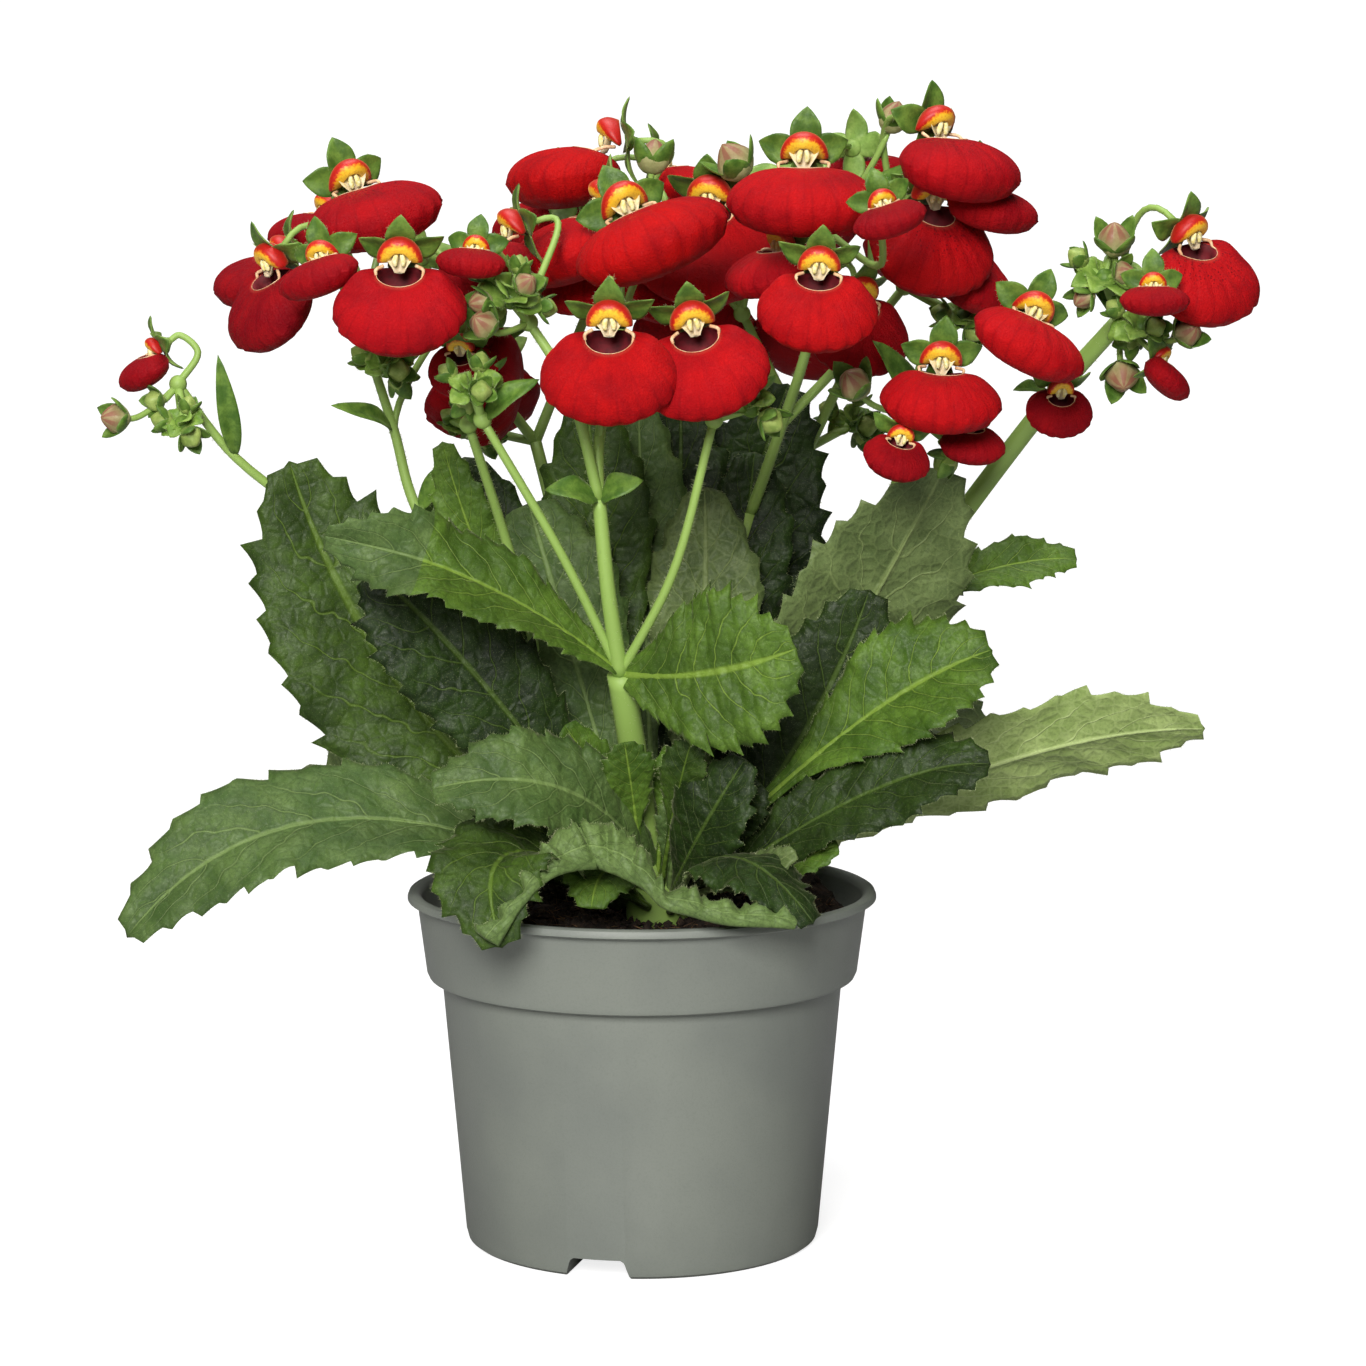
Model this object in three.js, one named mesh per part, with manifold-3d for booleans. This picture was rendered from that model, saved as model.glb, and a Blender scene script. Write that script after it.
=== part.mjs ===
// A potted pocketbook plant: a grey nursery pot with its soil, a rosette of toothed leaves,
// branching flower stems with buds, and red pouch flowers with small hoods.
// Millimetres, +Z up, -Y to the front, with the origin under the middle of the pot's floor.
import * as THREE from "three";
import { mergeVertices } from "three/addons/utils/BufferGeometryUtils.js";
import Module from "manifold-3d";

const wasm = await Module();
wasm.setup();

// ---------------------------------------------------------------- driving dimensions

const GAP = 0.36; // left where one piece meets or is cut by another

const POT = {
  height: 91,
  rim: 60, // outer radius of the lip
  lip: 2.4, // how far the lip stands out, and how deep it is
  bandTop: 57.6, // outer radius of the upper band, under the lip
  bandFoot: 55.1,
  bandLow: 68.7, // height of the band's lower edge
  bodyTop: 51.3, // outer radius of the body, under the band
  bodyFoot: 45.4,
  foot: 43.8, // outer radius of the ring that the pot stands on
  wall: 1.4,
  sides: 30,
};
const CHANNELS = {
  count: 3,
  first: -104, // degrees from +X, so that one channel opens at the front, a little to the left
  inner: 23, // radius where a channel starts
  footHalf: 8.6, // half the channel's width where the pot stands
  topHalf: 6.6, // the same under its roof
  height: 5,
  roof: 1.4,
  hole: 3.2, // radius of the drain hole in each channel's roof
  holeAt: 35,
};
const SOIL = { top: 84.5, roughness: 1.5, sides: 20, clear: 0.9, seed: 5 };

const BLADE = 0.9; // thickness of a leaf
const SEPAL = 0.8; // thickness of a small leaf on a stem
const PETAL = 1.0; // thickness of the hood
const STALK = 1; // radius of a flower stalk
const BUD = 3.1; // widest radius of a bud
const KNOT = 3.2; // radius of a stem's swelling at a fork
const CORE = 3.6; // radius of the core of a cluster of buds
const OPEN_SEAT = 1.85; // from the back of an open pouch to its calyx, so that they stay apart
const SUNK_SEAT = 3; // the same for a half-open flower, which is one piece with its calyx

// A leaf's proportions, as shares of its half width or of its length.
const LEAF = {
  stalk: 0.14, // half width of its stalk
  tooth: 0.11, // how far a tooth stands out, with half a millimetre more
  lean: 0.8, // how far a tooth leans forward, as a share of its own depth
  peak: 1.35, // above 1, the widest place lies past the middle
  fullness: 0.9, // below 1, the blade keeps its width for longer
  ripples: 19, // turns of the margin's wave, in radians over the length
  tip: 0.5, // half width of the tip in mm
};

// A flower's proportions, as shares of half its pouch's width. The mouth, the hood and the
// calyx are a little larger on a small flower, by these lengths in mm.
const SMALLEST = { mouth: 2, radius: 2.6, reach: 2.7, calyx: 4.9 };
const POUCH = { length: 0.78, depth: 0.42, middle: 0.98, level: -0.1, roundness: 2.4 };
const MOUTH = { middle: 0.38, length: 0.27, pit: 0.1 };
const HOOD = { radius: 0.18, most: 0.4, top: 0.66, reach: 0.3, sweep: 0.16 };
const CALYX = { reach: 0.37, height: 0.3, thickness: 2.8 };

// ---------------------------------------------------------------- places on the plant, mm

const CROWN = { x: 4, y: -9, foot: 76, top: 99, footRadius: 7.5, topRadius: 9 };

// Where stems fork, by name. The first seven are their roots in the crown.
const FORKS = {
  rootCentre: [2, -15, 95],
  rootRight: [10.5, -9.5, 95],
  rootMiddle: [7, -4.5, 95],
  rootLeft: [-2, -11, 95],
  rootFarLeft: [-1.5, -3.5, 95],
  rootBackLeft: [2.5, -3.5, 95],
  rootBackRight: [11.5, -5, 95],
  n1: [-5, -30, 150],
  n2: [-10, -38, 194],
  c1: [-16, -40, 218],
  c2: [-10, -35, 208],
  c3: [-27, -36, 237],
  c4: [-5, -23, 232],
  l1: [-38, -46, 214],
  r1: [18, -46, 214],
  left0: [-24, 2, 140],
  s1: [-57, 6, 187],
  s3: [-63, 6, 208],
  s2: [-70, 0, 232],
  t1: [-42, -34, 212],
  f0: [-66, 18, 172],
  f1: [-103, 4, 201],
  f2: [-117, 0, 220],
  m0: [16, 20, 135],
  m1: [28, 24, 185],
  m2: [36, 14, 209],
  m3: [42, 2, 230],
  m4: [47, 14, 258],
  m5: [67, 14, 244],
  h3: [36, 6, 124],
  h0: [52, 12, 141],
  h4: [66, 14, 163],
  g0: [62, 12, 180],
  g1: [68, -4, 213],
  h1: [104, 6, 216],
  h2: [120, -4, 236],
  k0: [-14, 28, 150],
  k1: [-28, 34, 203],
  k2: [-46, 32, 226],
  k3: [-12, 36, 243],
  q0: [34, 48, 150],
  q1: [44, 54, 200],
  q2: [26, 44, 236],
  q3: [60, 40, 236],
};

// Every spray: its stems as routes over forks and points, with the radius at either end, the
// forks where it is swollen, its bud clusters as [fork, middle, buds, reach], its single buds as
// [fork, place, size], and its small leaves as [root, tip, width].
const SPRAYS = {
  spray_centre: {
    stems: [
      [["rootCentre", [-1, -19, 122], "n1"], 3.3, 3],
      [["n1", [-8, -36, 172], "n2"], 2.2, 1.8],
      [["n2", "c1", [-21, -38, 228], "c3"], 1.5, 1.2],
      [["n2", "c2", "c4"], 1.5, 1.3],
      [["n1", [-19, -38, 180], "l1"], 1.3, 1.1],
      [["n1", [8, -40, 176], "r1"], 1.3, 1.1],
    ],
    knots: ["c3", "c4", "l1", "r1"],
    clusters: [
      ["c3", [-31, -46, 243], 7, 8.5],
      ["l1", [-40, -50, 221], 4, 6.5],
      ["r1", [27, -46, 217], 3, 5.5],
    ],
    buds: [
      ["c3", [-37, -52, 237], 1.2],
      ["c4", [3, -6, 276], 1.4],
    ],
    bracts: [
      ["n2", [-23, -46, 197], 7],
      ["n2", [1, -44, 199], 7],
      ["l1", [-24, -50, 224], 6],
    ],
  },
  spray_left: {
    stems: [
      [["rootLeft", [-11, -5, 116], "left0"], 2, 1.8],
      [["left0", "s1", "s3", "s2"], 1.6, 1.2],
      [["left0", [-33, -10, 178], "t1"], 1.5, 1.2],
    ],
    knots: ["s2", "t1"],
    clusters: [["s2", [-63, -18, 225], 4, 6.5]],
    buds: [
      ["t1", [-38, -30, 226], 1.1],
    ],
    bracts: [
      ["s3", [-78, -8, 215], 5],
      ["s1", [-46, 2, 202], 5],
    ],
  },
  spray_far_left: {
    stems: [[["rootFarLeft", [-9, 14, 111], [-32, 26, 142], "f0", "f1", "f2"], 1.8, 1.1]],
    knots: ["f2"],
    clusters: [["f2", [-115, -6, 210], 3, 5]],
    buds: [
      ["f2", [-131, -10, 212], 1.2],
      ["f2", [-122, -5, 216], 0.9],
    ],
    bracts: [["f1", [-106, -8, 228], 5]],
  },
  spray_middle: {
    stems: [
      [["rootMiddle", [10, 6, 113], "m0", "m1"], 2.2, 1.8],
      [["m1", "m2", "m3", "m4"], 1.6, 1.2],
      [["m2", [52, 12, 226], "m5"], 1.4, 1.2],
    ],
    knots: ["m3", "m4", "m5"],
    clusters: [["m5", [82, 10, 236], 3, 5.5]],
    buds: [
      ["m4", [24, 6, 275], 1.6],
      ["m4", [63, 2, 286], 1.3],
      ["m5", [80, 26, 258], 1],
    ],
    bracts: [["m4", [70, -2, 276], 5]],
  },
  spray_right: {
    stems: [
      [["rootRight", [20, -2, 107], "h3", "h0", "h4", "h1", "h2"], 3, 2],
      [["h0", "g0", "g1"], 1.7, 1.3],
    ],
    knots: ["g1", "h2"],
    clusters: [
      ["h2", [115, -16, 247], 5, 8],
      ["h2", [124, -20, 235], 4, 7],
      ["g1", [80, -16, 204], 2, 5],
    ],
    buds: [
      ["h2", [117, -20, 256], 1.4],
      ["g1", [53, -26, 221], 1.4],
      ["h2", [134, -28, 234], 1.2],
      ["h2", [120, -12, 223], 1.4],
    ],
    bracts: [
      ["g1", [57, -22, 232], 8],
      ["h2", [110, -8, 251], 6],
      ["h1", [93, -10, 219], 5],
    ],
  },
  spray_back_left: {
    stems: [
      [["rootBackLeft", [0, 13, 113], "k0", "k1"], 2.2, 1.7],
      [["k1", "k2"], 1.5, 1.2],
      [["k1", "k3"], 1.5, 1.2],
    ],
    knots: ["k2", "k3"],
    clusters: [["k1", [-44, 42, 206], 4, 7]],
    buds: [],
    bracts: [["k0", [-22, 44, 160], 9]],
  },
  spray_back_right: {
    stems: [
      [["rootBackRight", [22, 14, 110], "q0", "q1"], 2.2, 1.7],
      [["q1", "q2"], 1.5, 1.2],
      [["q1", "q3"], 1.5, 1.2],
    ],
    knots: ["q2", "q3"],
    clusters: [["q1", [56, 62, 206], 4, 7]],
    buds: [],
    bracts: [["q0", [42, 66, 160], 9]],
  },
};

// Every flower node and the flowers grown together in it. A flower is
// [place of its hood, heading, droop, roll, width, fork, point that its stalk passes]. Heading
// turns it from the front towards +X, droop tips it down, and roll turns it clockwise about its
// own length, in degrees.
const BLOOMS = {
  bloom_left_top: [[[-71, -15, 271], 25, 8, -16, 35, "s2"]],
  bloom_left_outer: [[[-92, 8, 253], -75, 15, 10, 27, "s2"]],
  bloom_left_behind: [[[-82, 30, 264], -50, 12, 0, 24, "s2"]],
  bloom_left_hanging: [[[-92, -20, 250], -55, 55, 0, 30, "s2"]],
  bloom_left_small: [[[-77, -44, 254], -15, 14, -18, 21, "s2", [-72, -16, 238]]],
  bloom_left_front: [[[-57, -57, 252], 0, 50, 0, 32, "s2", [-62, -22, 238]]],
  bloom_top_left: [[[-10, 22, 281], -88, 6, 0, 38, "k3"]],
  bloom_under_top: [
    [[-11, 0, 265], -78, 20, 0, 38, "c4"],
    [[-15, 14, 252], -30, 40, 0, 23, "c4"],
  ],
  bloom_left_inner: [[[-33, -21, 259], -75, 22, 0, 32, "c3"]],
  bloom_crest: [[[-3, -26, 265], 15, 2, -22, 40, "c4"]],
  bloom_core: [
    [[17, 12, 265], -12, 45, 0, 38, "q2", [30, 32, 262]],
    [[5, 21, 250], 20, 45, 0, 23, "q2", [14, 42, 249]],
  ],
  bloom_side_facing: [[[6, 44, 276], 75, 10, 0, 27, "k3"]],
  bloom_top_middle: [[[40, -27, 277], -4, 16, 0, 37, "m4"]],
  bloom_top_back: [[[57, 45, 279], 150, 10, 0, 28, "m4"]],
  bloom_top_right: [
    [[74, -20, 284], 40, 18, 2, 34, "m5"],
    [[85, -10, 271], 30, 15, 8, 25, "m5"],
  ],
  bloom_right_speckled: [
    [[73, -12, 266], 22, 55, 4, 34, "m5"],
    [[82, 3, 255], 50, 40, 5, 27, "m5"],
  ],
  bloom_right_small: [[[57.5, -60, 267], 8, 12, -18, 18, "m4", [59, -30, 251]]],
  bloom_middle_front: [[[43, -54, 250.5], -3, 48, 3, 29, "m3", [42, -28, 244]]],
  bloom_middle_left: [[[34, -16, 256], -55, 25, 0, 24, "m3"]],
  bloom_middle_hanging: [[[55, -8, 242], 25, 62, 0, 28, "m3"]],
  bloom_centre_pair: [
    [[-7, -65, 237], -3, 55, 0, 33, "c2"],
    [[13, -60, 237], 18, 52, -20, 32, "r1", [16, -42, 234]],
  ],
  bloom_low_dark: [[[-43, -3, 230], -25, 60, -68, 36, "s3"]],
  bloom_right_front: [[[73.8, -32, 227.3], 0, 24, 4, 30, "g1"]],
  bloom_right_tilted: [[[96, -40, 240], 6, 15, 26, 30, "h1"]],
  bloom_low_small: [[[63.7, -40, 210], -4, 42, 18, 17, "g1"]],
  bloom_right_nodding: [[[104, -22, 220], 10, 65, 0, 17, "h1"]],
  bloom_far_right: [[[136, -25, 257], 50, 42, -14, 32, "h2"]],
  bloom_far_left: [[[-123, 0, 229], -75, 30, 0, 18, "f2", [-112, 1, 228]]],
  bloom_back_1: [[[-61, 45, 249], -150, 25, 0, 34, "k2"]],
  bloom_back_2: [
    [[-22, 50, 268], -170, 20, 0, 34, "k3"],
    [[-7, 52, 257], 175, 35, 0, 30, "k3"],
  ],
  bloom_back_3: [[[39, 46, 270], 165, 20, 0, 34, "q2"]],
  bloom_back_4: [[[70, 41, 262], 140, 30, 0, 34, "q3"]],
  bloom_back_5: [
    [[14, 52, 242], 178, 45, 0, 34, "q2"],
    [[44, 48, 240], 160, 48, 0, 32, "q3"],
  ],
  bloom_back_6: [[[-42, 48, 224], -155, 45, 0, 32, "k2"]],
};

// Flowers that are only half open, each grown in one piece with its spray.
const HALF_OPEN = [
  [[-39, -50, 256], -10, 5, 5, 17, "c3"],
  [[-44, -32, 231], -15, 72, 0, 18, "t1", [-43, -20, 237]],
  [[81, -26, 212], 20, 30, 0, 17, "g1"],
  [[124, -43, 247], 0, 8, 0, 17, "h2"],
  [[129, -20, 228], 60, 35, 20, 17, "h2"],
];

// Every large leaf: root, middle and tip of its midrib, the way its upper side faces,
// half its width, how it folds and waves, and how many teeth it has on a side. Where `bare` is
// given, that share of its length is a plain stalk.
const LEAVES = {
  leaf_left_tall: {
    rib: [[-1, -9, 88], [-58, 4, 138], [-90, 8, 200]],
    face: [0.1, -0.95, 0.3], half: 24, fold: 0.1, wave: 1.6, teeth: 8,
  },
  leaf_left_dark: {
    rib: [[1, -11, 92], [-41, -20, 148], [-68, -16, 174]],
    face: [0.1, -0.93, 0.3], half: 16, fold: 0.08, wave: 1.2, teeth: 7,
  },
  leaf_right_pale: {
    rib: [[12, -8, 88], [48, -4, 147], [76, -12, 200]],
    face: [-0.3, 0.85, 0.3], half: 23, fold: -0.1, wave: 1.4, teeth: 7,
  },
  leaf_right_dark: {
    rib: [[13, -10, 93], [40, -17, 132], [57, -20, 170]],
    face: [0.1, -0.9, 0.3], half: 15, fold: 0.1, wave: 1.2, teeth: 6,
  },
  leaf_right_long: {
    rib: [[12.5, -5, 90], [88, 2, 122], [143, -6, 133]],
    face: [0.05, 0.8, 0.55], half: 14, fold: 0.15, wave: 1.6, teeth: 7,
  },
  leaf_right_low: {
    rib: [[9, -17, 88], [54, -36, 120], [86, -42, 129]],
    face: [0.1, -0.75, 0.6], half: 11, fold: 0.2, wave: 2, teeth: 6,
  },
  leaf_right_bright: {
    rib: [[12, -12, 96], [52, -29, 136], [87, -31, 156]],
    face: [-0.2, -0.8, 0.5], half: 15, fold: 0.3, wave: 1.4, teeth: 6, bare: 0.4,
  },
  leaf_left_long: {
    rib: [[-3.5, -12, 90], [-76, -22, 112], [-128, -32, 84]],
    face: [0.1, -0.65, 0.75], half: 16, fold: 0.2, wave: 1.6, teeth: 7,
  },
  leaf_front_grey: {
    rib: [[4, -14, 94], [-17, -42, 122], [-51, -50, 124]],
    face: [0, -0.8, 0.55], half: 13, fold: 0.15, wave: 1.4, teeth: 7,
  },
  leaf_front_low: {
    rib: [[2, -17, 89], [-31, -49, 108], [-33, -66, 88]],
    face: [-0.2, -0.6, 0.75], half: 15, fold: 0.25, wave: 2, teeth: 7,
  },
  leaf_front_arch: {
    rib: [[7, -17.5, 88], [22, -48, 107], [42, -62, 93]],
    face: [-0.2, -0.5, 0.85], half: 10.5, fold: 0.1, wave: 2.2, teeth: 7,
  },
  leaf_back_right: {
    rib: [[9, -2, 88], [22, 34, 160], [38, 39, 218]],
    face: [0.1, -0.9, 0.4], half: 20, fold: 0.12, wave: 1.6, teeth: 7,
  },
  leaf_back_left_low: {
    rib: [[-1.5, -4, 89], [-50, 52, 122], [-84, 82, 106]],
    face: [0.3, 0.1, 0.95], half: 17, fold: 0.2, wave: 1.8, teeth: 6,
  },
  leaf_back_low: {
    rib: [[4, -1, 89], [12, 62, 124], [14, 100, 104]],
    face: [0, 0.2, 0.95], half: 17, fold: 0.2, wave: 1.8, teeth: 6,
  },
  leaf_back_right_low: {
    rib: [[10, -2.5, 89], [60, 54, 124], [96, 80, 108]],
    face: [-0.3, 0.1, 0.95], half: 16, fold: 0.2, wave: 1.8, teeth: 6,
  },
  leaf_back_left_tall: {
    rib: [[1, -2, 88], [-36, 60, 150], [-58, 76, 190]],
    face: [0.3, -0.6, 0.6], half: 17, fold: 0.12, wave: 1.6, teeth: 6,
  },
};

// Leaves that grow out of a stem or the crown in the same piece, by the piece's name. The first
// one twists by an angle, from a share of its length on.
const STEM_LEAVES = {
  spray_centre: [
    {
      rib: ["n1", [-38, -42, 173], [-77, -45, 186]],
      face: [-0.2, -0.65, 0.75], half: 12, fold: 0.25, wave: 1.4, teeth: 8,
      twist: -1.3, twistFrom: 0.62,
    },
    {
      rib: ["n1", [16, -44, 152], [38, -52, 159]],
      face: [0.1, -0.95, 0.15], half: 19, fold: 0.1, wave: 1.4, teeth: 7,
    },
  ],
  spray_left: [
    {
      rib: ["left0", [-40, -1, 174], [-50, -7, 206]],
      face: [0, -1, 0.1], half: 7, fold: 0.1, wave: 1, teeth: 5,
    },
  ],
  spray_right: [
    {
      rib: ["h4", [92, 22, 171], [113, 26, 173]],
      face: [0, -0.75, 0.65], half: 7, fold: 0.2, wave: 1, teeth: 5,
    },
  ],
  crown: [
    {
      rib: [[-1, -4, 92], [-29, 14, 150], [-46, 22, 200]],
      face: [0, -1, 0.1], half: 14, fold: 0.15, wave: 1.8, teeth: 4, bare: 0.3,
    },
    {
      rib: [[0, -8, 92], [-17, -2, 150], [-29, 10, 189]],
      face: [0, -1, 0.1], half: 16, fold: 0.1, wave: 1.4, teeth: 4, bare: 0.25,
    },
    {
      rib: [[3, -4, 92], [-8, 8, 160], [-14, 11, 216]],
      face: [0, -1, 0.1], half: 13, fold: 0.1, wave: 1.4, teeth: 4, bare: 0.4,
    },
    {
      rib: [[8, -6, 92], [15, 5, 145], [16, 14, 193]],
      face: [0, -1, 0.1], half: 14, fold: 0.1, wave: 1.4, teeth: 4, bare: 0.3,
    },
    {
      rib: [[9, -3, 92], [22, 16, 150], [29, 26, 201]],
      face: [0, -1, 0.1], half: 12, fold: 0.1, wave: 1.8, teeth: 4, bare: 0.4,
    },
    {
      rib: [[7, -15, 90], [14, -34, 109], [26, -39, 130]],
      face: [-0.1, -0.75, 0.55], half: 10.5, fold: 0.12, wave: 0.8, teeth: 5, bare: 0.2,
    },
    {
      rib: [[-1, -15, 94], [-9, -22, 118], [-19, -29, 137]],
      face: [0, -0.8, 0.5], half: 6, fold: 0.15, wave: 0.6, teeth: 3, bare: 0.4,
    },
    {
      rib: [[4, -16, 94], [7, -25, 119], [14, -30, 130]],
      face: [0, -0.8, 0.5], half: 6, fold: 0.15, wave: 0.6, teeth: 3, bare: 0.4,
    },
  ],
};

// ---------------------------------------------------------------- small helpers

const vector = ([x, y, z]) => new THREE.Vector3(x, y, z);
const mix = (a, b, t) => a.clone().lerp(b, t);
const radians = THREE.MathUtils.degToRad;
const place = (spot) => vector(typeof spot === "string" ? FORKS[spot] : spot);

// A repeatable source of random numbers from 0 to 1.
function dice(seed) {
  let state = seed;
  return () => {
    state = (state * 16807) % 2147483647;
    return state / 2147483647;
  };
}

// ---------------------------------------------------------------- solids from points

function solidOf(points, triangles) {
  const vertProperties = Float32Array.from(points.flatMap((p) => [p.x, p.y, p.z]));
  const build = (faces) =>
    new wasm.Manifold(
      new wasm.Mesh({ numProp: 3, vertProperties, triVerts: Uint32Array.from(faces.flat()) }),
    );
  const made = build(triangles);
  return made.volume() > 0 ? made : build(triangles.map(([a, b, c]) => [a, c, b]));
}

// A three.js geometry with its shared vertices merged, as a solid.
function solidOfGeometry(geometry) {
  const bare = geometry.clone();
  bare.deleteAttribute("normal");
  bare.deleteAttribute("uv");
  const merged = mergeVertices(bare, 1e-3);
  const position = merged.getAttribute("position");
  const points = [];
  for (let i = 0; i < position.count; i += 1) {
    points.push(new THREE.Vector3().fromBufferAttribute(position, i));
  }
  const triangles = [];
  for (let i = 0; i < merged.index.count; i += 3) {
    const [a, b, c] = [0, 1, 2].map((k) => merged.index.getX(i + k));
    if (a !== b && b !== c && c !== a) triangles.push([a, b, c]);
  }
  return solidOf(points, triangles);
}

// Triangles between two lines of vertex numbers that run side by side.
function strip(a, b) {
  const [lastA, lastB] = [a.length - 1, b.length - 1];
  const triangles = [];
  let [i, j] = [0, 0];
  while (i < lastA || j < lastB) {
    const onA = j === lastB || (i < lastA && (i + 1) / lastA <= (j + 1) / lastB);
    const [p, q] = [a[i], b[j]];
    if (onA) i += 1;
    else j += 1;
    triangles.push([p, onA ? a[i] : b[j], q]);
  }
  return triangles;
}

const closed = (ring) => (ring.length > 1 ? [...ring, ring[0]] : ring);

// A closed skin over rings of points, from one pole to the other.
function loft(start, rings, end) {
  const points = [];
  const numbered = [[start], ...rings, [end]].map((ring) => ring.map((p) => points.push(p) - 1));
  const triangles = numbered
    .slice(1)
    .flatMap((ring, k) => strip(closed(numbered[k]), closed(ring)));
  return solidOf(points, triangles);
}

// The surface normal at each point of a grid, from the points beside it.
function gridNormals(rows) {
  const clamp = THREE.MathUtils.clamp;
  return rows.map((row, i) =>
    row.map((_, j) => {
      const before = rows[clamp(i - 1, 0, rows.length - 1)][j];
      const after = rows[clamp(i + 1, 0, rows.length - 1)][j];
      const left = row[clamp(j - 1, 0, row.length - 1)];
      const right = row[clamp(j + 1, 0, row.length - 1)];
      const along = after.clone().sub(before);
      return along.cross(right.clone().sub(left)).normalize();
    }),
  );
}

// A sheet of one thickness over a grid of points. Both faces split along the same diagonals.
function sheet(rows, thickness) {
  const normals = gridNormals(rows);
  const across = rows[0].length;
  const count = rows.length * across;
  const side = (sign) =>
    rows.flatMap((row, i) =>
      row.map((p, j) => p.clone().addScaledVector(normals[i][j], (sign * thickness) / 2)),
    );
  const points = [...side(1), ...side(-1)];
  const at = (i, j) => i * across + j;
  const triangles = [];
  const both = (a, b, c) => {
    triangles.push([a, b, c]);
    triangles.push([a + count, c + count, b + count]);
  };
  for (let i = 0; i + 1 < rows.length; i += 1) {
    for (let j = 0; j + 1 < across; j += 1) {
      both(at(i, j), at(i + 1, j), at(i + 1, j + 1));
      both(at(i, j), at(i + 1, j + 1), at(i, j + 1));
    }
  }
  const edge = [];
  for (let j = 0; j < across; j += 1) edge.push(at(0, j));
  for (let i = 1; i < rows.length; i += 1) edge.push(at(i, across - 1));
  for (let j = across - 2; j >= 0; j -= 1) edge.push(at(rows.length - 1, j));
  for (let i = rows.length - 2; i > 0; i -= 1) edge.push(at(i, 0));
  edge.forEach((a, k) => {
    const b = edge[(k + 1) % edge.length];
    triangles.push([a, b, b + count]);
    triangles.push([a, b + count, a + count]);
  });
  return solidOf(points, triangles);
}

// Rings round a curve at given shares of its length. The two axes that each ring is drawn on
// start square to the tangent `before` and turn with the curve.
function ringsAlong(curve, shares, radius, turns, before, axes) {
  const [across, upright] = axes.map((axis) => axis.clone());
  let last = before;
  return shares.map((share) => {
    const along = curve.getTangent(share);
    const bend = new THREE.Quaternion().setFromUnitVectors(last, along);
    [across, upright].forEach((axis) => axis.applyQuaternion(bend));
    last = along;
    return turns.map((turn) =>
      curve
        .getPoint(share)
        .addScaledVector(across, radius(share) * Math.cos(radians(turn)))
        .addScaledVector(upright, radius(share) * Math.sin(radians(turn))),
    );
  });
}

// A round bar along a curve, whose radius changes evenly from one end to the other.
function bar(curve, from, to, sides, steps) {
  const turns = [...Array(sides).keys()].map((k) => (360 * k) / sides);
  const shares = [...Array(steps + 1).keys()].map((i) => i / steps);
  const along = curve.getTangent(0);
  const across = new THREE.Vector3(0.6, 0.8, 0.01).cross(along).normalize();
  const axes = [across, along.clone().cross(across)];
  const radius = (share) => THREE.MathUtils.lerp(from, to, share);
  const rings = ringsAlong(curve, shares, radius, turns, along, axes);
  return loft(curve.getPoint(0), rings, curve.getPoint(1));
}

const joined = (solids) => solids.reduce((a, b) => a.add(b));

const largestBody = (solid) =>
  solid.decompose().reduce((a, b) => (b.volume() > a.volume() ? b : a));

// The same solid with each vertex moved outwards, used to cut a gap into a neighbour.
function grown(solid, distance) {
  const mesh = solid.getMesh();
  const points = [];
  for (let i = 0; i < mesh.numVert; i += 1) {
    points.push(vector(mesh.vertProperties.subarray(i * mesh.numProp, i * mesh.numProp + 3)));
  }
  const normals = points.map(() => new THREE.Vector3());
  const triangles = [];
  for (let i = 0; i < mesh.triVerts.length; i += 3) {
    const triangle = [...mesh.triVerts.subarray(i, i + 3)];
    triangles.push(triangle);
    const [a, b, c] = triangle.map((v) => points[v]);
    const facing = b.clone().sub(a).cross(c.clone().sub(a)).normalize();
    triangle.forEach((v, k) => {
      const corner = points[v];
      const next = points[triangle[(k + 1) % 3]].clone().sub(corner);
      const other = points[triangle[(k + 2) % 3]].clone().sub(corner);
      normals[v].addScaledVector(facing, next.angleTo(other));
    });
  }
  const moved = points.map((p, i) => p.clone().addScaledVector(normals[i].normalize(), distance));
  return solidOf(moved, triangles);
}

// ---------------------------------------------------------------- pot and soil

const potProfile = [
  [0, 0],
  [POT.foot, 0],
  [POT.bodyFoot + 0.1, 3],
  [POT.bodyTop, POT.bandLow],
  [POT.bandFoot - 0.5, POT.bandLow],
  [POT.bandFoot + 0.1, POT.bandLow + 1.6],
  [POT.bandTop, POT.height - POT.lip],
  [POT.rim, POT.height - POT.lip],
  [POT.rim - 0.7, POT.height],
  [POT.bandTop, POT.height],
  [POT.bandTop - POT.wall, POT.height - 2],
  [POT.bandFoot - POT.wall, POT.bandLow + POT.wall + 1],
  [POT.bodyTop - POT.wall, POT.bandLow - 1],
  [POT.bodyFoot - POT.wall, 3],
  [POT.foot - 1, POT.wall],
  [0, POT.wall],
];

// A tunnel with sloping sides, from near the middle out through the foot, for channel number k.
function tunnel(k, extra, outer) {
  const c = CHANNELS;
  const inner = c.inner - extra;
  const below = extra > 0 ? 0 : 1;
  const section = new THREE.Shape();
  section.moveTo(-c.footHalf - extra, -below);
  section.lineTo(c.footHalf + extra, -below);
  section.lineTo(c.topHalf + extra, c.height + extra);
  section.lineTo(-c.topHalf - extra, c.height + extra);
  section.closePath();
  const bar = new THREE.ExtrudeGeometry(section, { depth: outer - inner, bevelEnabled: false });
  bar.rotateX(Math.PI / 2);
  bar.rotateZ(Math.PI / 2);
  bar.translate(inner, 0, 0);
  bar.rotateZ(radians(c.first + (360 / c.count) * k));
  return solidOfGeometry(bar);
}

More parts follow.
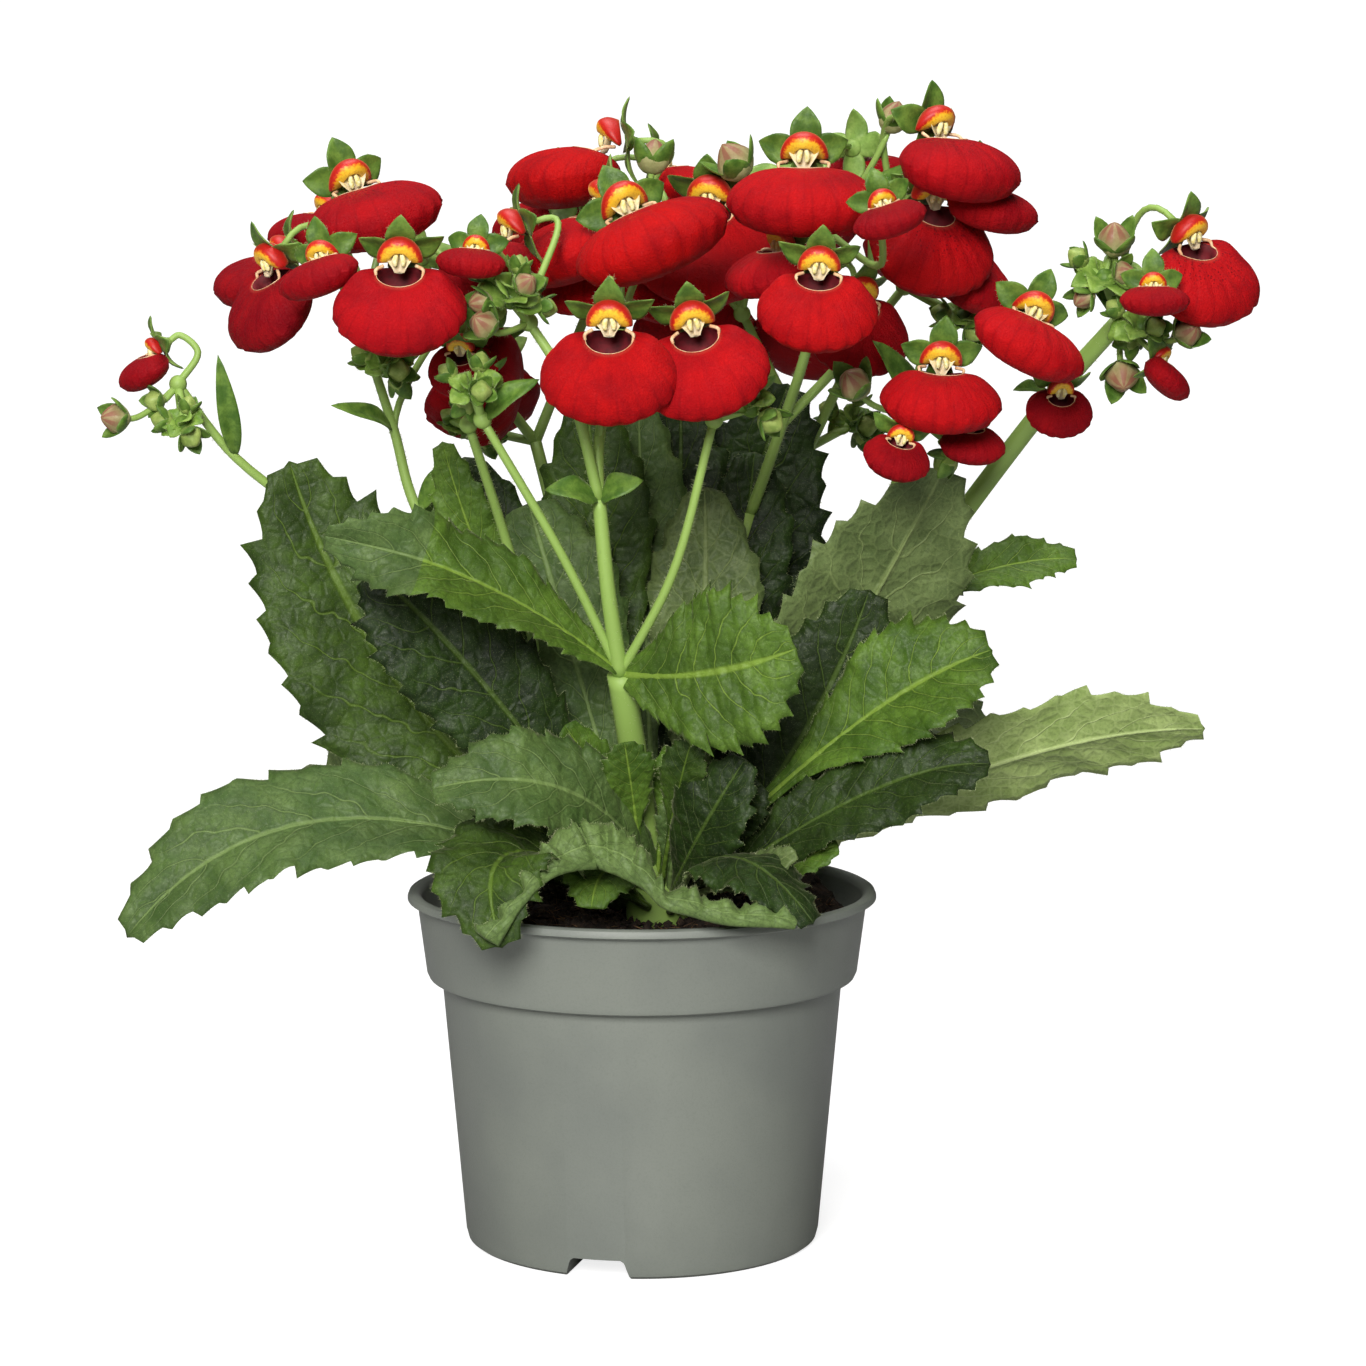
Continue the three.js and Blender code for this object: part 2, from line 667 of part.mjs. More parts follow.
function drainHole(k) {
  const hole = new THREE.CylinderGeometry(CHANNELS.hole, CHANNELS.hole, 20, 8);
  hole.rotateX(Math.PI / 2);
  hole.translate(CHANNELS.holeAt, 0, 0);
  hole.rotateZ(radians(CHANNELS.first + (360 / CHANNELS.count) * k));
  return solidOfGeometry(hole);
}

const turned = (profile) =>
  solidOfGeometry(
    new THREE.LatheGeometry(
      profile.map(([r, z]) => new THREE.Vector2(r, z)),
      POT.sides,
    ).rotateX(Math.PI / 2),
  );

// What lies within the middle of the wall, which the roofs of the channels don't pass.
const potInside = [
  [0, 0],
  [POT.foot - 0.5, 0],
  [POT.bodyFoot - 0.5, 3],
  [POT.bodyFoot, 3 * CHANNELS.height],
  [0, 3 * CHANNELS.height],
];

function pot() {
  const channels = [...Array(CHANNELS.count).keys()];
  const roofs = joined(channels.map((k) => tunnel(k, CHANNELS.roof, POT.rim)));
  const hollows = joined(channels.map((k) => tunnel(k, 0, POT.rim)));
  const holes = joined(channels.map(drainHole));
  const casings = roofs.intersect(turned(potInside));
  return turned(potProfile).add(casings).subtract(hollows).subtract(holes);
}

// The soil stands on the roofs of the channels and fills the pot to a rough top, which heaps
// up at the back right.
function soil() {
  const random = dice(SOIL.seed);
  const floor = CHANNELS.height + CHANNELS.roof + SOIL.clear;
  const radiusAt = (z) =>
    THREE.MathUtils.mapLinear(z, 3, POT.bandLow, POT.bodyFoot, POT.bodyTop) - POT.wall - SOIL.clear;
  const ringAt = (radius, height) => {
    const ring = [];
    for (let k = 0; k < SOIL.sides; k += 1) {
      const turn = (2 * Math.PI * k) / SOIL.sides;
      const [x, y] = [radius * Math.cos(turn), radius * Math.sin(turn)];
      ring.push(new THREE.Vector3(x, y, height(x, y)));
    }
    return ring;
  };
  const level = (z) => () => z;
  const top = (x, y) => {
    const heap = 8 * Math.exp(-((x - 40) ** 2 + (y - 28) ** 2) / 90);
    return SOIL.top + heap + (random() - 0.5) * 2 * SOIL.roughness;
  };
  const shoulder = POT.bandLow + POT.wall + 3;
  const bandRadius = POT.bandFoot - POT.wall - SOIL.clear;
  const rings = [
    ringAt(radiusAt(floor), level(floor)),
    ringAt(radiusAt(POT.bandLow - 1.6), level(POT.bandLow - 1.6)),
    ringAt(bandRadius - 0.4, level(shoulder)),
    ringAt(bandRadius, level(SOIL.top - 3.5)),
    ...[49, 39, 28, 14].map((radius) => ringAt(radius, top)),
  ];
  return loft(new THREE.Vector3(0, 0, floor), rings, new THREE.Vector3(0, 0, top(0, 0)));
}

// ---------------------------------------------------------------- leaves

// A blade on a bent midrib. Its half width swells like a sine along the rib, its margin is cut
// into forward-pointing teeth, and it may fold along the rib, wave at the margin and twist.
function leaf(plan) {
  const [root, middle, tip] = plan.rib.map(place);
  const control = middle.clone().multiplyScalar(2).sub(mix(root, tip, 0.5));
  const rib = new THREE.QuadraticBezierCurve3(root, control, tip);
  const face = vector(plan.face).normalize();
  const { half, fold, wave, teeth } = plan;
  const bladeFrom = plan.bare ?? 0.1;
  const toothDepth = LEAF.tooth * half + 0.5;
  const rows = [];
  const stations = [0];
  for (let k = 0; k <= 2 * teeth; k += 1) {
    stations.push(bladeFrom + ((1 - bladeFrom) * k) / (2 * teeth));
  }
  stations.forEach((s, station) => {
    const middlePoint = rib.getPoint(s);
    const along = rib.getTangent(s);
    const side = along.clone().cross(face).normalize();
    const up = side.clone().cross(along);
    const turn = (plan.twist ?? 0) * THREE.MathUtils.smoothstep(s, plan.twistFrom ?? 0.5, 1);
    side.applyAxisAngle(along, turn);
    up.applyAxisAngle(along, turn);
    const share = Math.max(0, (s - bladeFrom + 0.1) / (1.1 - bladeFrom));
    const swell = Math.sin(Math.PI * share ** LEAF.peak) ** LEAF.fullness;
    const isTip = s > 0.999;
    const width = isTip ? LEAF.tip : half * THREE.MathUtils.lerp(LEAF.stalk, 1, swell);
    const isTooth = station > 1 && station % 2 === 0 && !isTip;
    const tooth = isTooth ? toothDepth * Math.min(1, (2.2 * width) / half) : 0;
    const row = [-1, 0, 1].map((v) => {
      const outer = Math.abs(v) === 1;
      const reach = width + (outer ? tooth : 0);
      const phase = v > 0 ? 0 : 1.7;
      const ripple = isTip ? 0 : wave * v * v * Math.sin(s * LEAF.ripples + phase) * (width / half);
      return middlePoint
        .clone()
        .addScaledVector(side, v * reach)
        .addScaledVector(up, fold * Math.abs(v) * width + ripple)
        .addScaledVector(along, outer ? tooth * LEAF.lean : 0);
    });
    rows.push(row);
  });
  return sheet(rows, BLADE);
}

// A small plain leaf on a stem, keeled along its middle.
function bract([from, to, width]) {
  const [root, tip] = [place(from), vector(to)];
  const along = tip.clone().sub(root);
  const side = along.clone().cross(new THREE.Vector3(0, -0.8, 0.6)).setLength(width / 2);
  const keel = along.clone().cross(side).setLength(width * 0.16);
  const middle = mix(root, tip, 0.42);
  const ring = [
    middle.clone().add(side).add(keel),
    middle.clone().addScaledVector(keel, SEPAL / keel.length() / 2),
    middle.clone().sub(side).add(keel),
    middle.clone().addScaledVector(keel, -SEPAL / keel.length() / 2),
  ];
  return loft(root, [ring], tip);
}

// ---------------------------------------------------------------- flowers

// A flower's own frame: its seat on the calyx, the way it points, and the side its hood is on.
// Its own origin is at the back of the pouch, below the seat.
function frameOf(plan) {
  const [hood, heading, droop, roll, width] = plan;
  const back = HALF_OPEN.includes(plan) ? SUNK_SEAT : OPEN_SEAT;
  const [h, d] = [radians(heading), radians(droop)];
  const half = width / 2;
  const out = vector([Math.sin(h) * Math.cos(d), -Math.cos(h) * Math.cos(d), -Math.sin(d)]);
  const up = vector([Math.sin(h) * Math.sin(d), -Math.cos(h) * Math.sin(d), Math.cos(d)]);
  up.applyAxisAngle(out, radians(-roll));
  const side = out.clone().cross(up);
  const origin = vector(hood).addScaledVector(out, -0.4 * half).addScaledVector(up, -0.35 * half);
  const at = (x, y, z) =>
    origin.clone().addScaledVector(side, x).addScaledVector(out, y).addScaledVector(up, z);
  const seat = at(0, back, CALYX.height * half);
  const radius = Math.min(SMALLEST.radius + HOOD.radius * half, HOOD.most * half);
  return { half, hood: radius, seat, out, up, side, at };
}

// The pouch is a flattened ball with a mouth behind its top. Its rings run from the rim of the
// mouth over the creased top to the outline, and for a fine one on to the underside.
function pouchRings({ half, hood, at }, sides, isFull) {
  const [length, depth] = [POUCH.length * half, POUCH.depth * half];
  const [middle, level] = [POUCH.middle * half, POUCH.level * half];
  const mouth = { y: SMALLEST.mouth + MOUTH.middle * half, length: MOUTH.length * half };
  const heightOver = (x, y) => {
    const out = Math.min(1, Math.hypot(x / half, (y - middle) / length));
    return level + depth * Math.sqrt(1 - out ** POUCH.roundness);
  };
  const round = (backPoint, make) =>
    [...Array(sides).keys()].map((k) => {
      const turn = (2 * Math.PI * k) / sides - Math.PI / 2;
      return k === 0 && backPoint ? backPoint : make(Math.cos(turn), Math.sin(turn), k);
    });
  const rim = (c, s) => [hood * c, mouth.y + mouth.length * s];
  const outline = (c, s, k) => {
    const crease = s > 0.3 ? 1 + 0.02 * (-1) ** k : 1;
    return [half * c * crease, middle + length * s * crease];
  };
  const over = (share) => (c, s, k) => {
    const [[ax, ay], [bx, by]] = [rim(c, s), outline(c, s, k)];
    const [x, y] = [ax + (bx - ax) * share, ay + (by - ay) * share];
    return at(x, y, heightOver(x, y));
  };
  const edge = (c, s, k) => {
    const [x, y] = outline(c, s, k);
    return at(x, y, level);
  };
  const under = (c, s) => at(0.66 * half * c, middle + 0.66 * length * s, level - 0.72 * depth);
  const rings = [
    round(null, over(0)),
    round(at(0, 2.3, 0.5), over(0.55)),
    round(at(0, 2, -0.8), edge),
  ];
  const ends = {
    pit: at(0, mouth.y + MOUTH.pit * half, level - 0.1 * depth),
    bottom: at(0, middle, level - 0.96 * depth),
  };
  return { rings: isFull ? [...rings, round(null, under)] : rings, ...ends };
}

// The hood is a bent scoop that rises behind the mouth and arches over it. Its rows run from
// inside over the rim to outside.
function hoodRows({ half, hood, at }) {
  const top = HOOD.top * half;
  const row = (y, radius, middle, sweep) =>
    [...Array(5).keys()].map((k) => {
      const turn = radians(-98 + 49 * k);
      const back = sweep * half * (1 - Math.cos(turn));
      return at(radius * Math.sin(turn), y - back, middle + radius * Math.cos(turn));
    });
  const [low, high] = [0.05 * half + 2, HOOD.reach * half + SMALLEST.reach];
  return [
    row(low + 0.7 * PETAL, 0.86 * hood - 0.7 * PETAL, top - 1.1 * hood, 0),
    row(high, hood - PETAL, top - hood, HOOD.sweep),
    row(high, hood, top - hood, HOOD.sweep),
    row(low, 0.86 * hood, top - 1.1 * hood, 0),
  ];
}

// A flower that faces the front is given more sides than one that is turned away.
const isFine = ([, heading, , , width]) => width > 24 && Math.abs(heading) < 62;

// A flower is one skin. Between the rim of the mouth and the ring after it, the two sectors at
// the back are left out, and the hood's rows stand there.
function corolla(plan) {
  const frame = frameOf(plan);
  const sides = isFine(plan) ? 10 : 8;
  const pouch = pouchRings(frame, sides, isFine(plan));
  const points = [];
  const numbered = (ring) => ring.map((p) => points.push(p) - 1);
  const [[pit], [bottom]] = [numbered([pouch.pit]), numbered([pouch.bottom])];
  const rings = pouch.rings.map(numbered);
  const rows = hoodRows(frame).map(numbered);
  const back = (ring) => [ring[sides - 1], ring[0], ring[1]];
  const fan = ([a, b, c], row) => [
    [a, b, row[0]],
    ...row.slice(1).map((p, k) => [b, p, row[k]]),
    [b, c, row.at(-1)],
  ];
  const chain = [back(rings[0]), ...rows, back(rings[1])];
  const side = (column) => chain.map((line) => line.at(column));
  const [left, right] = [side(0), side(-1)];
  const triangles = [
    strip([pit], closed(rings[0])),
    strip(rings[0].slice(1), rings[1].slice(1)),
    ...rings.slice(2).map((ring, k) => strip(closed(rings[k + 1]), closed(ring))),
    strip(closed(rings.at(-1)), [bottom]),
    fan(chain[0], rows[0]),
    ...rows.slice(1).map((row, k) => strip(rows[k], row)),
    fan(chain.at(-1), rows.at(-1)).map(([p, q, r]) => [p, r, q]),
    strip(left.slice(0, 3), left.slice(3).reverse()),
    strip(right.slice(3).reverse(), right.slice(0, 3)),
  ];
  return solidOf(points, triangles.flat());
}

// The stalk leaves its fork upwards, bends over and meets the flower along its length. Where
// another flower is in the way, it passes a given point instead. It ends in the calyx, a star
// of four pointed sepals behind the flower, thick where they meet.
function stalkWithCalyx(plan) {
  const { half, seat, out, side, up } = frameOf(plan);
  const [, , , , , fork, via] = plan;
  const start = place(fork);
  const span = start.distanceTo(seat);
  const end = seat.clone().addScaledVector(out, -CALYX.thickness);
  const last = end.clone().addScaledVector(out, -0.55 * span);
  const lift = start.clone().add(new THREE.Vector3(0, 0, span * 0.4));
  const near = seat.clone().addScaledVector(out, -5.5);
  const curve = via
    ? new THREE.CatmullRomCurve3([start, vector(via), near, end], false, "centripetal")
    : new THREE.CubicBezierCurve3(start, lift, last, end);
  const shares = span > 20 || via ? [1, 0.74, 0.4] : [1, 0.6];
  const rings = ringsAlong(curve, shares, () => STALK, [45, 165, 285], out, [side, up]);
  const reach = SMALLEST.calyx + CALYX.reach * half;
  const sepal = isFine(plan)
    ? [
        [-45, 0.28, -0.9],
        [-24, 0.66, -0.8],
        [0, 1, -1.6],
        [24, 0.66, -0.8],
      ]
    : [
        [-45, 0.42, -0.9],
        [0, 1, -1.6],
      ];
  const star = [90, 180, 270, 360].flatMap((quarter) =>
    sepal.map(([turn, radius, y]) => {
      const angle = radians(quarter + turn);
      return seat
        .clone()
        .addScaledVector(side, reach * radius * Math.cos(angle))
        .addScaledVector(up, reach * radius * Math.sin(angle))
        .addScaledVector(out, y);
    }),
  );
  return loft(start, [...rings.reverse(), star], seat);
}

// A bud is a closed calyx with four sides that comes to a point. Its foot is drawn out into
// a stalk of its own that ends at the root.
function bud(root, middle, towards, size) {
  const along = towards.clone().normalize();
  const side = along.clone().cross(new THREE.Vector3(0.31, 0.17, 0.93)).normalize();
  const other = along.clone().cross(side);
  const ring = (height, radius) =>
    [0, 90, 180, 270].map((turn) =>
      middle
        .clone()
        .addScaledVector(along, height * size)
        .addScaledVector(side, radius * size * Math.cos(radians(turn)))
        .addScaledVector(other, radius * size * Math.sin(radians(turn))),
    );
  const rings = [ring(-0.5 * BUD, 0.9 * BUD), ring(0.5 * BUD, 0.95 * BUD)];
  return loft(root, rings, middle.clone().addScaledVector(along, 1.3 * BUD * size));
}

function budOnStalk(from, spot, size) {
  const middle = vector(spot);
  const start = from.clone();
  const towards = middle.clone().sub(start).normalize();
  towards.z += 0.5;
  const span = start.distanceTo(middle);
  const bend = middle.clone().addScaledVector(towards.normalize(), -0.4 * span);
  const curve = new THREE.QuadraticBezierCurve3(start, bend, middle);
  const root = middle.clone().addScaledVector(towards, -1.2 * BUD * size);
  return bar(curve, STALK, STALK, 3, 2).add(bud(root, middle, towards, size));
}

// Buds stand round the core of their cluster in a spiral that opens upwards.
function cluster([fork, spot, count, reach], seed) {
  const random = dice(seed);
  const middle = vector(spot);
  const stem = new THREE.LineCurve3(place(fork), middle);
  const parts = [bar(stem, 1.2, 1.4, 4, 1), knot(middle, CORE)];
  for (let k = 0; k < count; k += 1) {
    const turn = k * 2.4 + random();
    const rise = 0.9 - (1.5 * k) / Math.max(count - 1, 1) + 0.2 * random();
    const flat = Math.sqrt(Math.max(0.05, 1 - Math.min(1, Math.abs(rise)) ** 2));
    const towards = new THREE.Vector3(flat * Math.cos(turn), flat * Math.sin(turn), rise);
    const away = reach * (0.85 + 0.3 * random());
    const at = (distance) => middle.clone().addScaledVector(towards.normalize(), distance);
    parts.push(bud(at(0.4 * CORE), at(away), towards, 0.8 + 0.35 * random()));
  }
  return joined(parts);
}

// ---------------------------------------------------------------- sprays and crown

function stem([route, from, to]) {
  const points = route.map(place);
  const curve =
    points.length > 2
      ? new THREE.CatmullRomCurve3(points, false, "centripetal")
      : new THREE.LineCurve3(points[0], points[1]);
  const sides = from > 2.5 ? 6 : 4;
  return bar(curve, from, to, sides, 2 * (points.length - 1));
}

// A stem is swollen where it forks.
function knot(middle, radius) {
  const ball = new THREE.OctahedronGeometry(radius);
  return solidOfGeometry(ball.translate(middle.x, middle.y, middle.z));
}

function spray(name) {
  const plan = SPRAYS[name];
  const forks = plan.stems.flatMap(([route]) => route.filter((spot) => typeof spot === "string"));
  const parts = [...plan.stems.map(stem), ...plan.knots.map((fork) => knot(place(fork), KNOT))];
  plan.clusters.forEach((entry, k) => parts.push(cluster(entry, 11 + 7 * k)));
  plan.buds.forEach(([fork, spot, size]) => parts.push(budOnStalk(place(fork), spot, size)));
  plan.bracts.forEach((entry) => parts.push(bract(entry)));
  (STEM_LEAVES[name] ?? []).forEach((entry) => parts.push(leaf(entry)));
  const flowers = [...Object.values(BLOOMS).flat(), ...HALF_OPEN];
  flowers
    .filter((flower) => forks.includes(flower[5]))
    .forEach((flower) => {
      parts.push(stalkWithCalyx(flower));
      if (HALF_OPEN.includes(flower)) parts.push(corolla(flower));
    });
  return joined(parts);
}

// The crown's own stalk stands in the soil, and stems and leaves grow from it.
function crownStalk() {
  const { x, y, foot, top, footRadius, topRadius } = CROWN;
  const middle = new THREE.LineCurve3(vector([x, y, foot]), vector([x, y, top]));
  return bar(middle, footRadius, topRadius, 8, 1);
}

// ---------------------------------------------------------------- materials and assembly

const material = (color, roughness) =>
  new THREE.MeshStandardMaterial({ color, roughness, metalness: 0, flatShading: true });
const MATERIALS = {
  plastic: material(0x7d827a, 0.45),
  peat: material(0x2a1c15, 0.95),
  stem: material(0x8fae4f, 0.7),
  leaf: material(0x4d6f35, 0.75),
  flower: material(0xc0121b, 0.6),
};

const group = new THREE.Group();
group.name = "pocketbook_plant";
const kept = [];

const apart = (a, b) =>
  ["0", "1", "2"].some((k) => a.max[k] < b.min[k] - 1 || b.max[k] < a.min[k] - 1);

// Adds a piece, after cutting it clear of every piece that is already in place.
function put(name, whole, look) {
  const box = whole.boundingBox();
  const near = kept.filter((other) => !apart(other.box, box));
  const touching = near.filter((other) => other.wide.intersect(whole).volume() > 0);
  const cut = touching.reduce((solid, other) => solid.subtract(other.wide), whole);
  const solid = largestBody(cut);
  kept.push({ name, box: solid.boundingBox(), wide: grown(solid, GAP) });
  const mesh = solid.getMesh();
  const geometry = new THREE.BufferGeometry();
  const position = new Float32Array(mesh.numVert * 3);
  for (let i = 0; i < mesh.numVert; i += 1) {
    position.set(mesh.vertProperties.subarray(i * mesh.numProp, i * mesh.numProp + 3), i * 3);
  }
  geometry.setAttribute("position", new THREE.BufferAttribute(position, 3));
  geometry.setIndex(new THREE.BufferAttribute(mesh.triVerts, 1));
  const piece = new THREE.Mesh(geometry, look);
  piece.name = name;
  group.add(piece);
}

put("pot", pot(), MATERIALS.plastic);
Object.entries(BLOOMS).forEach(([name, flowers]) => {
  put(name, joined(flowers.map(corolla)), MATERIALS.flower);
});
const stalkOfCrown = crownStalk();
kept.push({ name: "crown", box: stalkOfCrown.boundingBox(), wide: grown(stalkOfCrown, GAP + 0.15) });
Object.keys(SPRAYS).forEach((name) => put(name, spray(name), MATERIALS.stem));
Object.entries(LEAVES).forEach(([name, plan]) => put(name, leaf(plan), MATERIALS.leaf));
kept.splice(kept.findIndex((piece) => piece.name === "crown"), 1);
put("crown", joined([stalkOfCrown, ...STEM_LEAVES.crown.map(leaf)]), MATERIALS.stem);
put("soil", soil(), MATERIALS.peat);

export default group;
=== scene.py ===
"""A potted pocketbook plant: fine surfaces for the flowers, leaves, stems, soil and pot.

Every piece is worked out from the same places as its solid, in millimetres, and put into its mesh
in metres.
"""

import math
from collections import namedtuple

import bpy
import numpy as np
from bpy.props import FloatProperty, FloatVectorProperty, IntProperty, PointerProperty
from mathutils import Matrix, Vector


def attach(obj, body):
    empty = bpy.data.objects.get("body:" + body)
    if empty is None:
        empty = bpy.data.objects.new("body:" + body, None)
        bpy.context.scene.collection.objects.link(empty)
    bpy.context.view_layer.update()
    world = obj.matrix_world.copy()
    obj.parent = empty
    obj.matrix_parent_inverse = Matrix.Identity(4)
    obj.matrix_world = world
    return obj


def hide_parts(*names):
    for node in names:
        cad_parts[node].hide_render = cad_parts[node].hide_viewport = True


bl_info = {
    "name": "Pocketbook Plant",
    "version": (1, 0, 0),
    "blender": (4, 5, 0),
    "location": "View3D > Sidebar > Plant",
    "description": "Builds a potted pocketbook plant round its packed frame",
    "category": "Add Mesh",
}

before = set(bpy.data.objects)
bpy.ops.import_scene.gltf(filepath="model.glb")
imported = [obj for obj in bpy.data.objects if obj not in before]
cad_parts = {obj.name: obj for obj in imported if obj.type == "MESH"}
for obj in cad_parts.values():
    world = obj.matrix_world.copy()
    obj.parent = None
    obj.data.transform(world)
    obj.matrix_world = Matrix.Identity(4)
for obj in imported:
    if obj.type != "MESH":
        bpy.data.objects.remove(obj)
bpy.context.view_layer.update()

MM = 0.001
UP = np.array([0.0, 0.0, 1.0])
# Half the thickness in mm of a hair on a stem, of one on a leaf's margin and of a fibre of peat.
STEM_HAIR, MARGIN_HAIR, FIBRE = 0.045, 0.028, 0.16
# The turn in radians from one bud or small leaf of a spiral to the next.
SPIRAL = 2.4

# A leaf's plan: the root, middle and tip of its rib, the way that its upper side faces, half its
# width, how steeply it folds, its wave in mm, the teeth of a margin, its look, the share of the
# rib that is stalk, its twist in radians and the share where that starts, how far one half hangs,
# and the share from which its outside is grey.
Leaf = namedtuple("Leaf", "rib face half fold wave teeth look bare twist twist_from sag pale",
                  defaults=(0.1, 0, 0.5, 0, 2))

# ---------------------------------------------------------------- places on the plant, mm

# Where the stems fork or end.
FORKS = {
    "rootCentre": (2, -15, 95), "rootRight": (10.5, -9.5, 95), "rootMiddle": (7, -4.5, 95),
    "rootLeft": (-2, -11, 95), "rootFarLeft": (-1.5, -3.5, 95), "rootBackLeft": (2.5, -3.5, 95),
    "rootBackRight": (11.5, -5, 95), "n1": (-5, -30, 150), "n2": (-10, -38, 194), "c1": (-16, -40, 218),
    "c2": (-10, -35, 208), "c3": (-27, -36, 237), "c4": (-5, -23, 232), "l1": (-38, -46, 214),
    "r1": (18, -46, 214), "left0": (-24, 2, 140), "s1": (-57, 6, 187), "s3": (-63, 6, 208),
    "s2": (-70, 0, 232), "t1": (-42, -34, 212), "f0": (-66, 18, 172), "f1": (-103, 4, 201),
    "f2": (-117, 0, 220), "m0": (16, 20, 135), "m1": (28, 24, 185), "m2": (36, 14, 209), "m3": (42, 2, 230),
    "m4": (47, 14, 258), "m5": (67, 14, 244), "h3": (36, 6, 124), "h0": (52, 12, 141), "h4": (66, 14, 163),
    "g0": (62, 12, 180), "g1": (68, -4, 213), "h1": (104, 6, 216), "h2": (120, -4, 236), "k0": (-14, 28, 150),
    "k1": (-28, 34, 203), "k2": (-46, 32, 226), "k3": (-12, 36, 243), "q0": (34, 48, 150),
    "q1": (44, 54, 200), "q2": (26, 44, 236), "q3": (60, 40, 236),
}
# Each spray: its stems as the places they run through with the first and last radius, the knots
# where stalks meet, clusters as fork, place, number of buds and reach, single buds as fork, place
# and size, and bracts as fork, tip and width.
SPRAYS = {
    "spray_centre": {
        "stems": (
            (("rootCentre", (-1, -19, 122), "n1"), 3.3, 3),
            (("n1", (-8, -36, 172), "n2"), 2.2, 1.8),
            (("n2", "c1", (-21, -38, 228), "c3"), 1.5, 1.2),
            (("n2", "c2", "c4"), 1.5, 1.3),
            (("n1", (-19, -38, 180), "l1"), 1.3, 1.1),
            (("n1", (8, -40, 176), "r1"), 1.3, 1.1),
        ),
        "knots": ("c3", "c4", "l1", "r1"),
        "clusters": (
            ("c3", (-31, -46, 243), 7, 8.5),
            ("l1", (-40, -50, 221), 4, 6.5),
            ("r1", (27, -46, 217), 3, 5.5),
        ),
        "buds": (("c3", (-37, -52, 237), 1.2), ("c4", (3, -6, 276), 1.4)),
        "bracts": (("n2", (-23, -46, 197), 7), ("n2", (1, -44, 199), 7), ("l1", (-24, -50, 224), 6)),
    },
    "spray_left": {
        "stems": (
            (("rootLeft", (-11, -5, 116), "left0"), 2, 1.8),
            (("left0", "s1", "s3", "s2"), 1.6, 1.2),
            (("left0", (-33, -10, 178), "t1"), 1.5, 1.2),
        ),
        "knots": ("s2", "t1"),
        "clusters": (("s2", (-63, -18, 225), 4, 6.5),),
        "buds": (("t1", (-38, -30, 226), 1.1),),
        "bracts": (("s3", (-78, -8, 215), 5), ("s1", (-46, 2, 202), 5)),
    },
    "spray_far_left": {
        "stems": ((("rootFarLeft", (-9, 14, 111), (-32, 26, 142), "f0", "f1", "f2"), 1.8, 1.1),),
        "knots": ("f2",),
        "clusters": (("f2", (-115, -6, 210), 3, 5),),
        "buds": (("f2", (-131, -10, 212), 1.2), ("f2", (-122, -5, 216), 0.9)),
        "bracts": (("f1", (-106, -8, 228), 5),),
    },
    "spray_middle": {
        "stems": (
            (("rootMiddle", (10, 6, 113), "m0", "m1"), 2.2, 1.8),
            (("m1", "m2", "m3", "m4"), 1.6, 1.2),
            (("m2", (52, 12, 226), "m5"), 1.4, 1.2),
        ),
        "knots": ("m3", "m4", "m5"),
        "clusters": (("m5", (82, 10, 236), 3, 5.5),),
        "buds": (("m4", (24, 6, 275), 1.6), ("m4", (63, 2, 286), 1.3), ("m5", (80, 26, 258), 1)),
        "bracts": (("m4", (70, -2, 276), 5),),
    },
    "spray_right": {
        "stems": (
            (("rootRight", (20, -2, 107), "h3", "h0", "h4", "h1", "h2"), 3, 2),
            (("h0", "g0", "g1"), 1.7, 1.3),
        ),
        "knots": ("g1", "h2"),
        "clusters": (
            ("h2", (115, -16, 247), 5, 8),
            ("h2", (124, -20, 235), 4, 7),
            ("g1", (80, -16, 204), 2, 5),
        ),
        "buds": (
            ("h2", (117, -20, 256), 1.4),
            ("g1", (53, -26, 221), 1.4),
            ("h2", (134, -28, 234), 1.2),
            ("h2", (120, -12, 223), 1.4),
        ),
        "bracts": (("g1", (57, -22, 232), 8), ("h2", (110, -8, 251), 6), ("h1", (93, -10, 219), 5)),
    },
    "spray_back_left": {
        "stems": (
            (("rootBackLeft", (0, 13, 113), "k0", "k1"), 2.2, 1.7),
            (("k1", "k2"), 1.5, 1.2),
            (("k1", "k3"), 1.5, 1.2),
        ),
        "knots": ("k2", "k3"),
        "clusters": (("k1", (-44, 42, 206), 4, 7),),
        "buds": (),
        "bracts": (("k0", (-22, 44, 160), 9),),
    },
    "spray_back_right": {
        "stems": (
            (("rootBackRight", (22, 14, 110), "q0", "q1"), 2.2, 1.7),
            (("q1", "q2"), 1.5, 1.2),
            (("q1", "q3"), 1.5, 1.2),
        ),
        "knots": ("q2", "q3"),
        "clusters": (("q1", (56, 62, 206), 4, 7),),
        "buds": (),
        "bracts": (("q0", (42, 66, 160), 9),),
    },
}
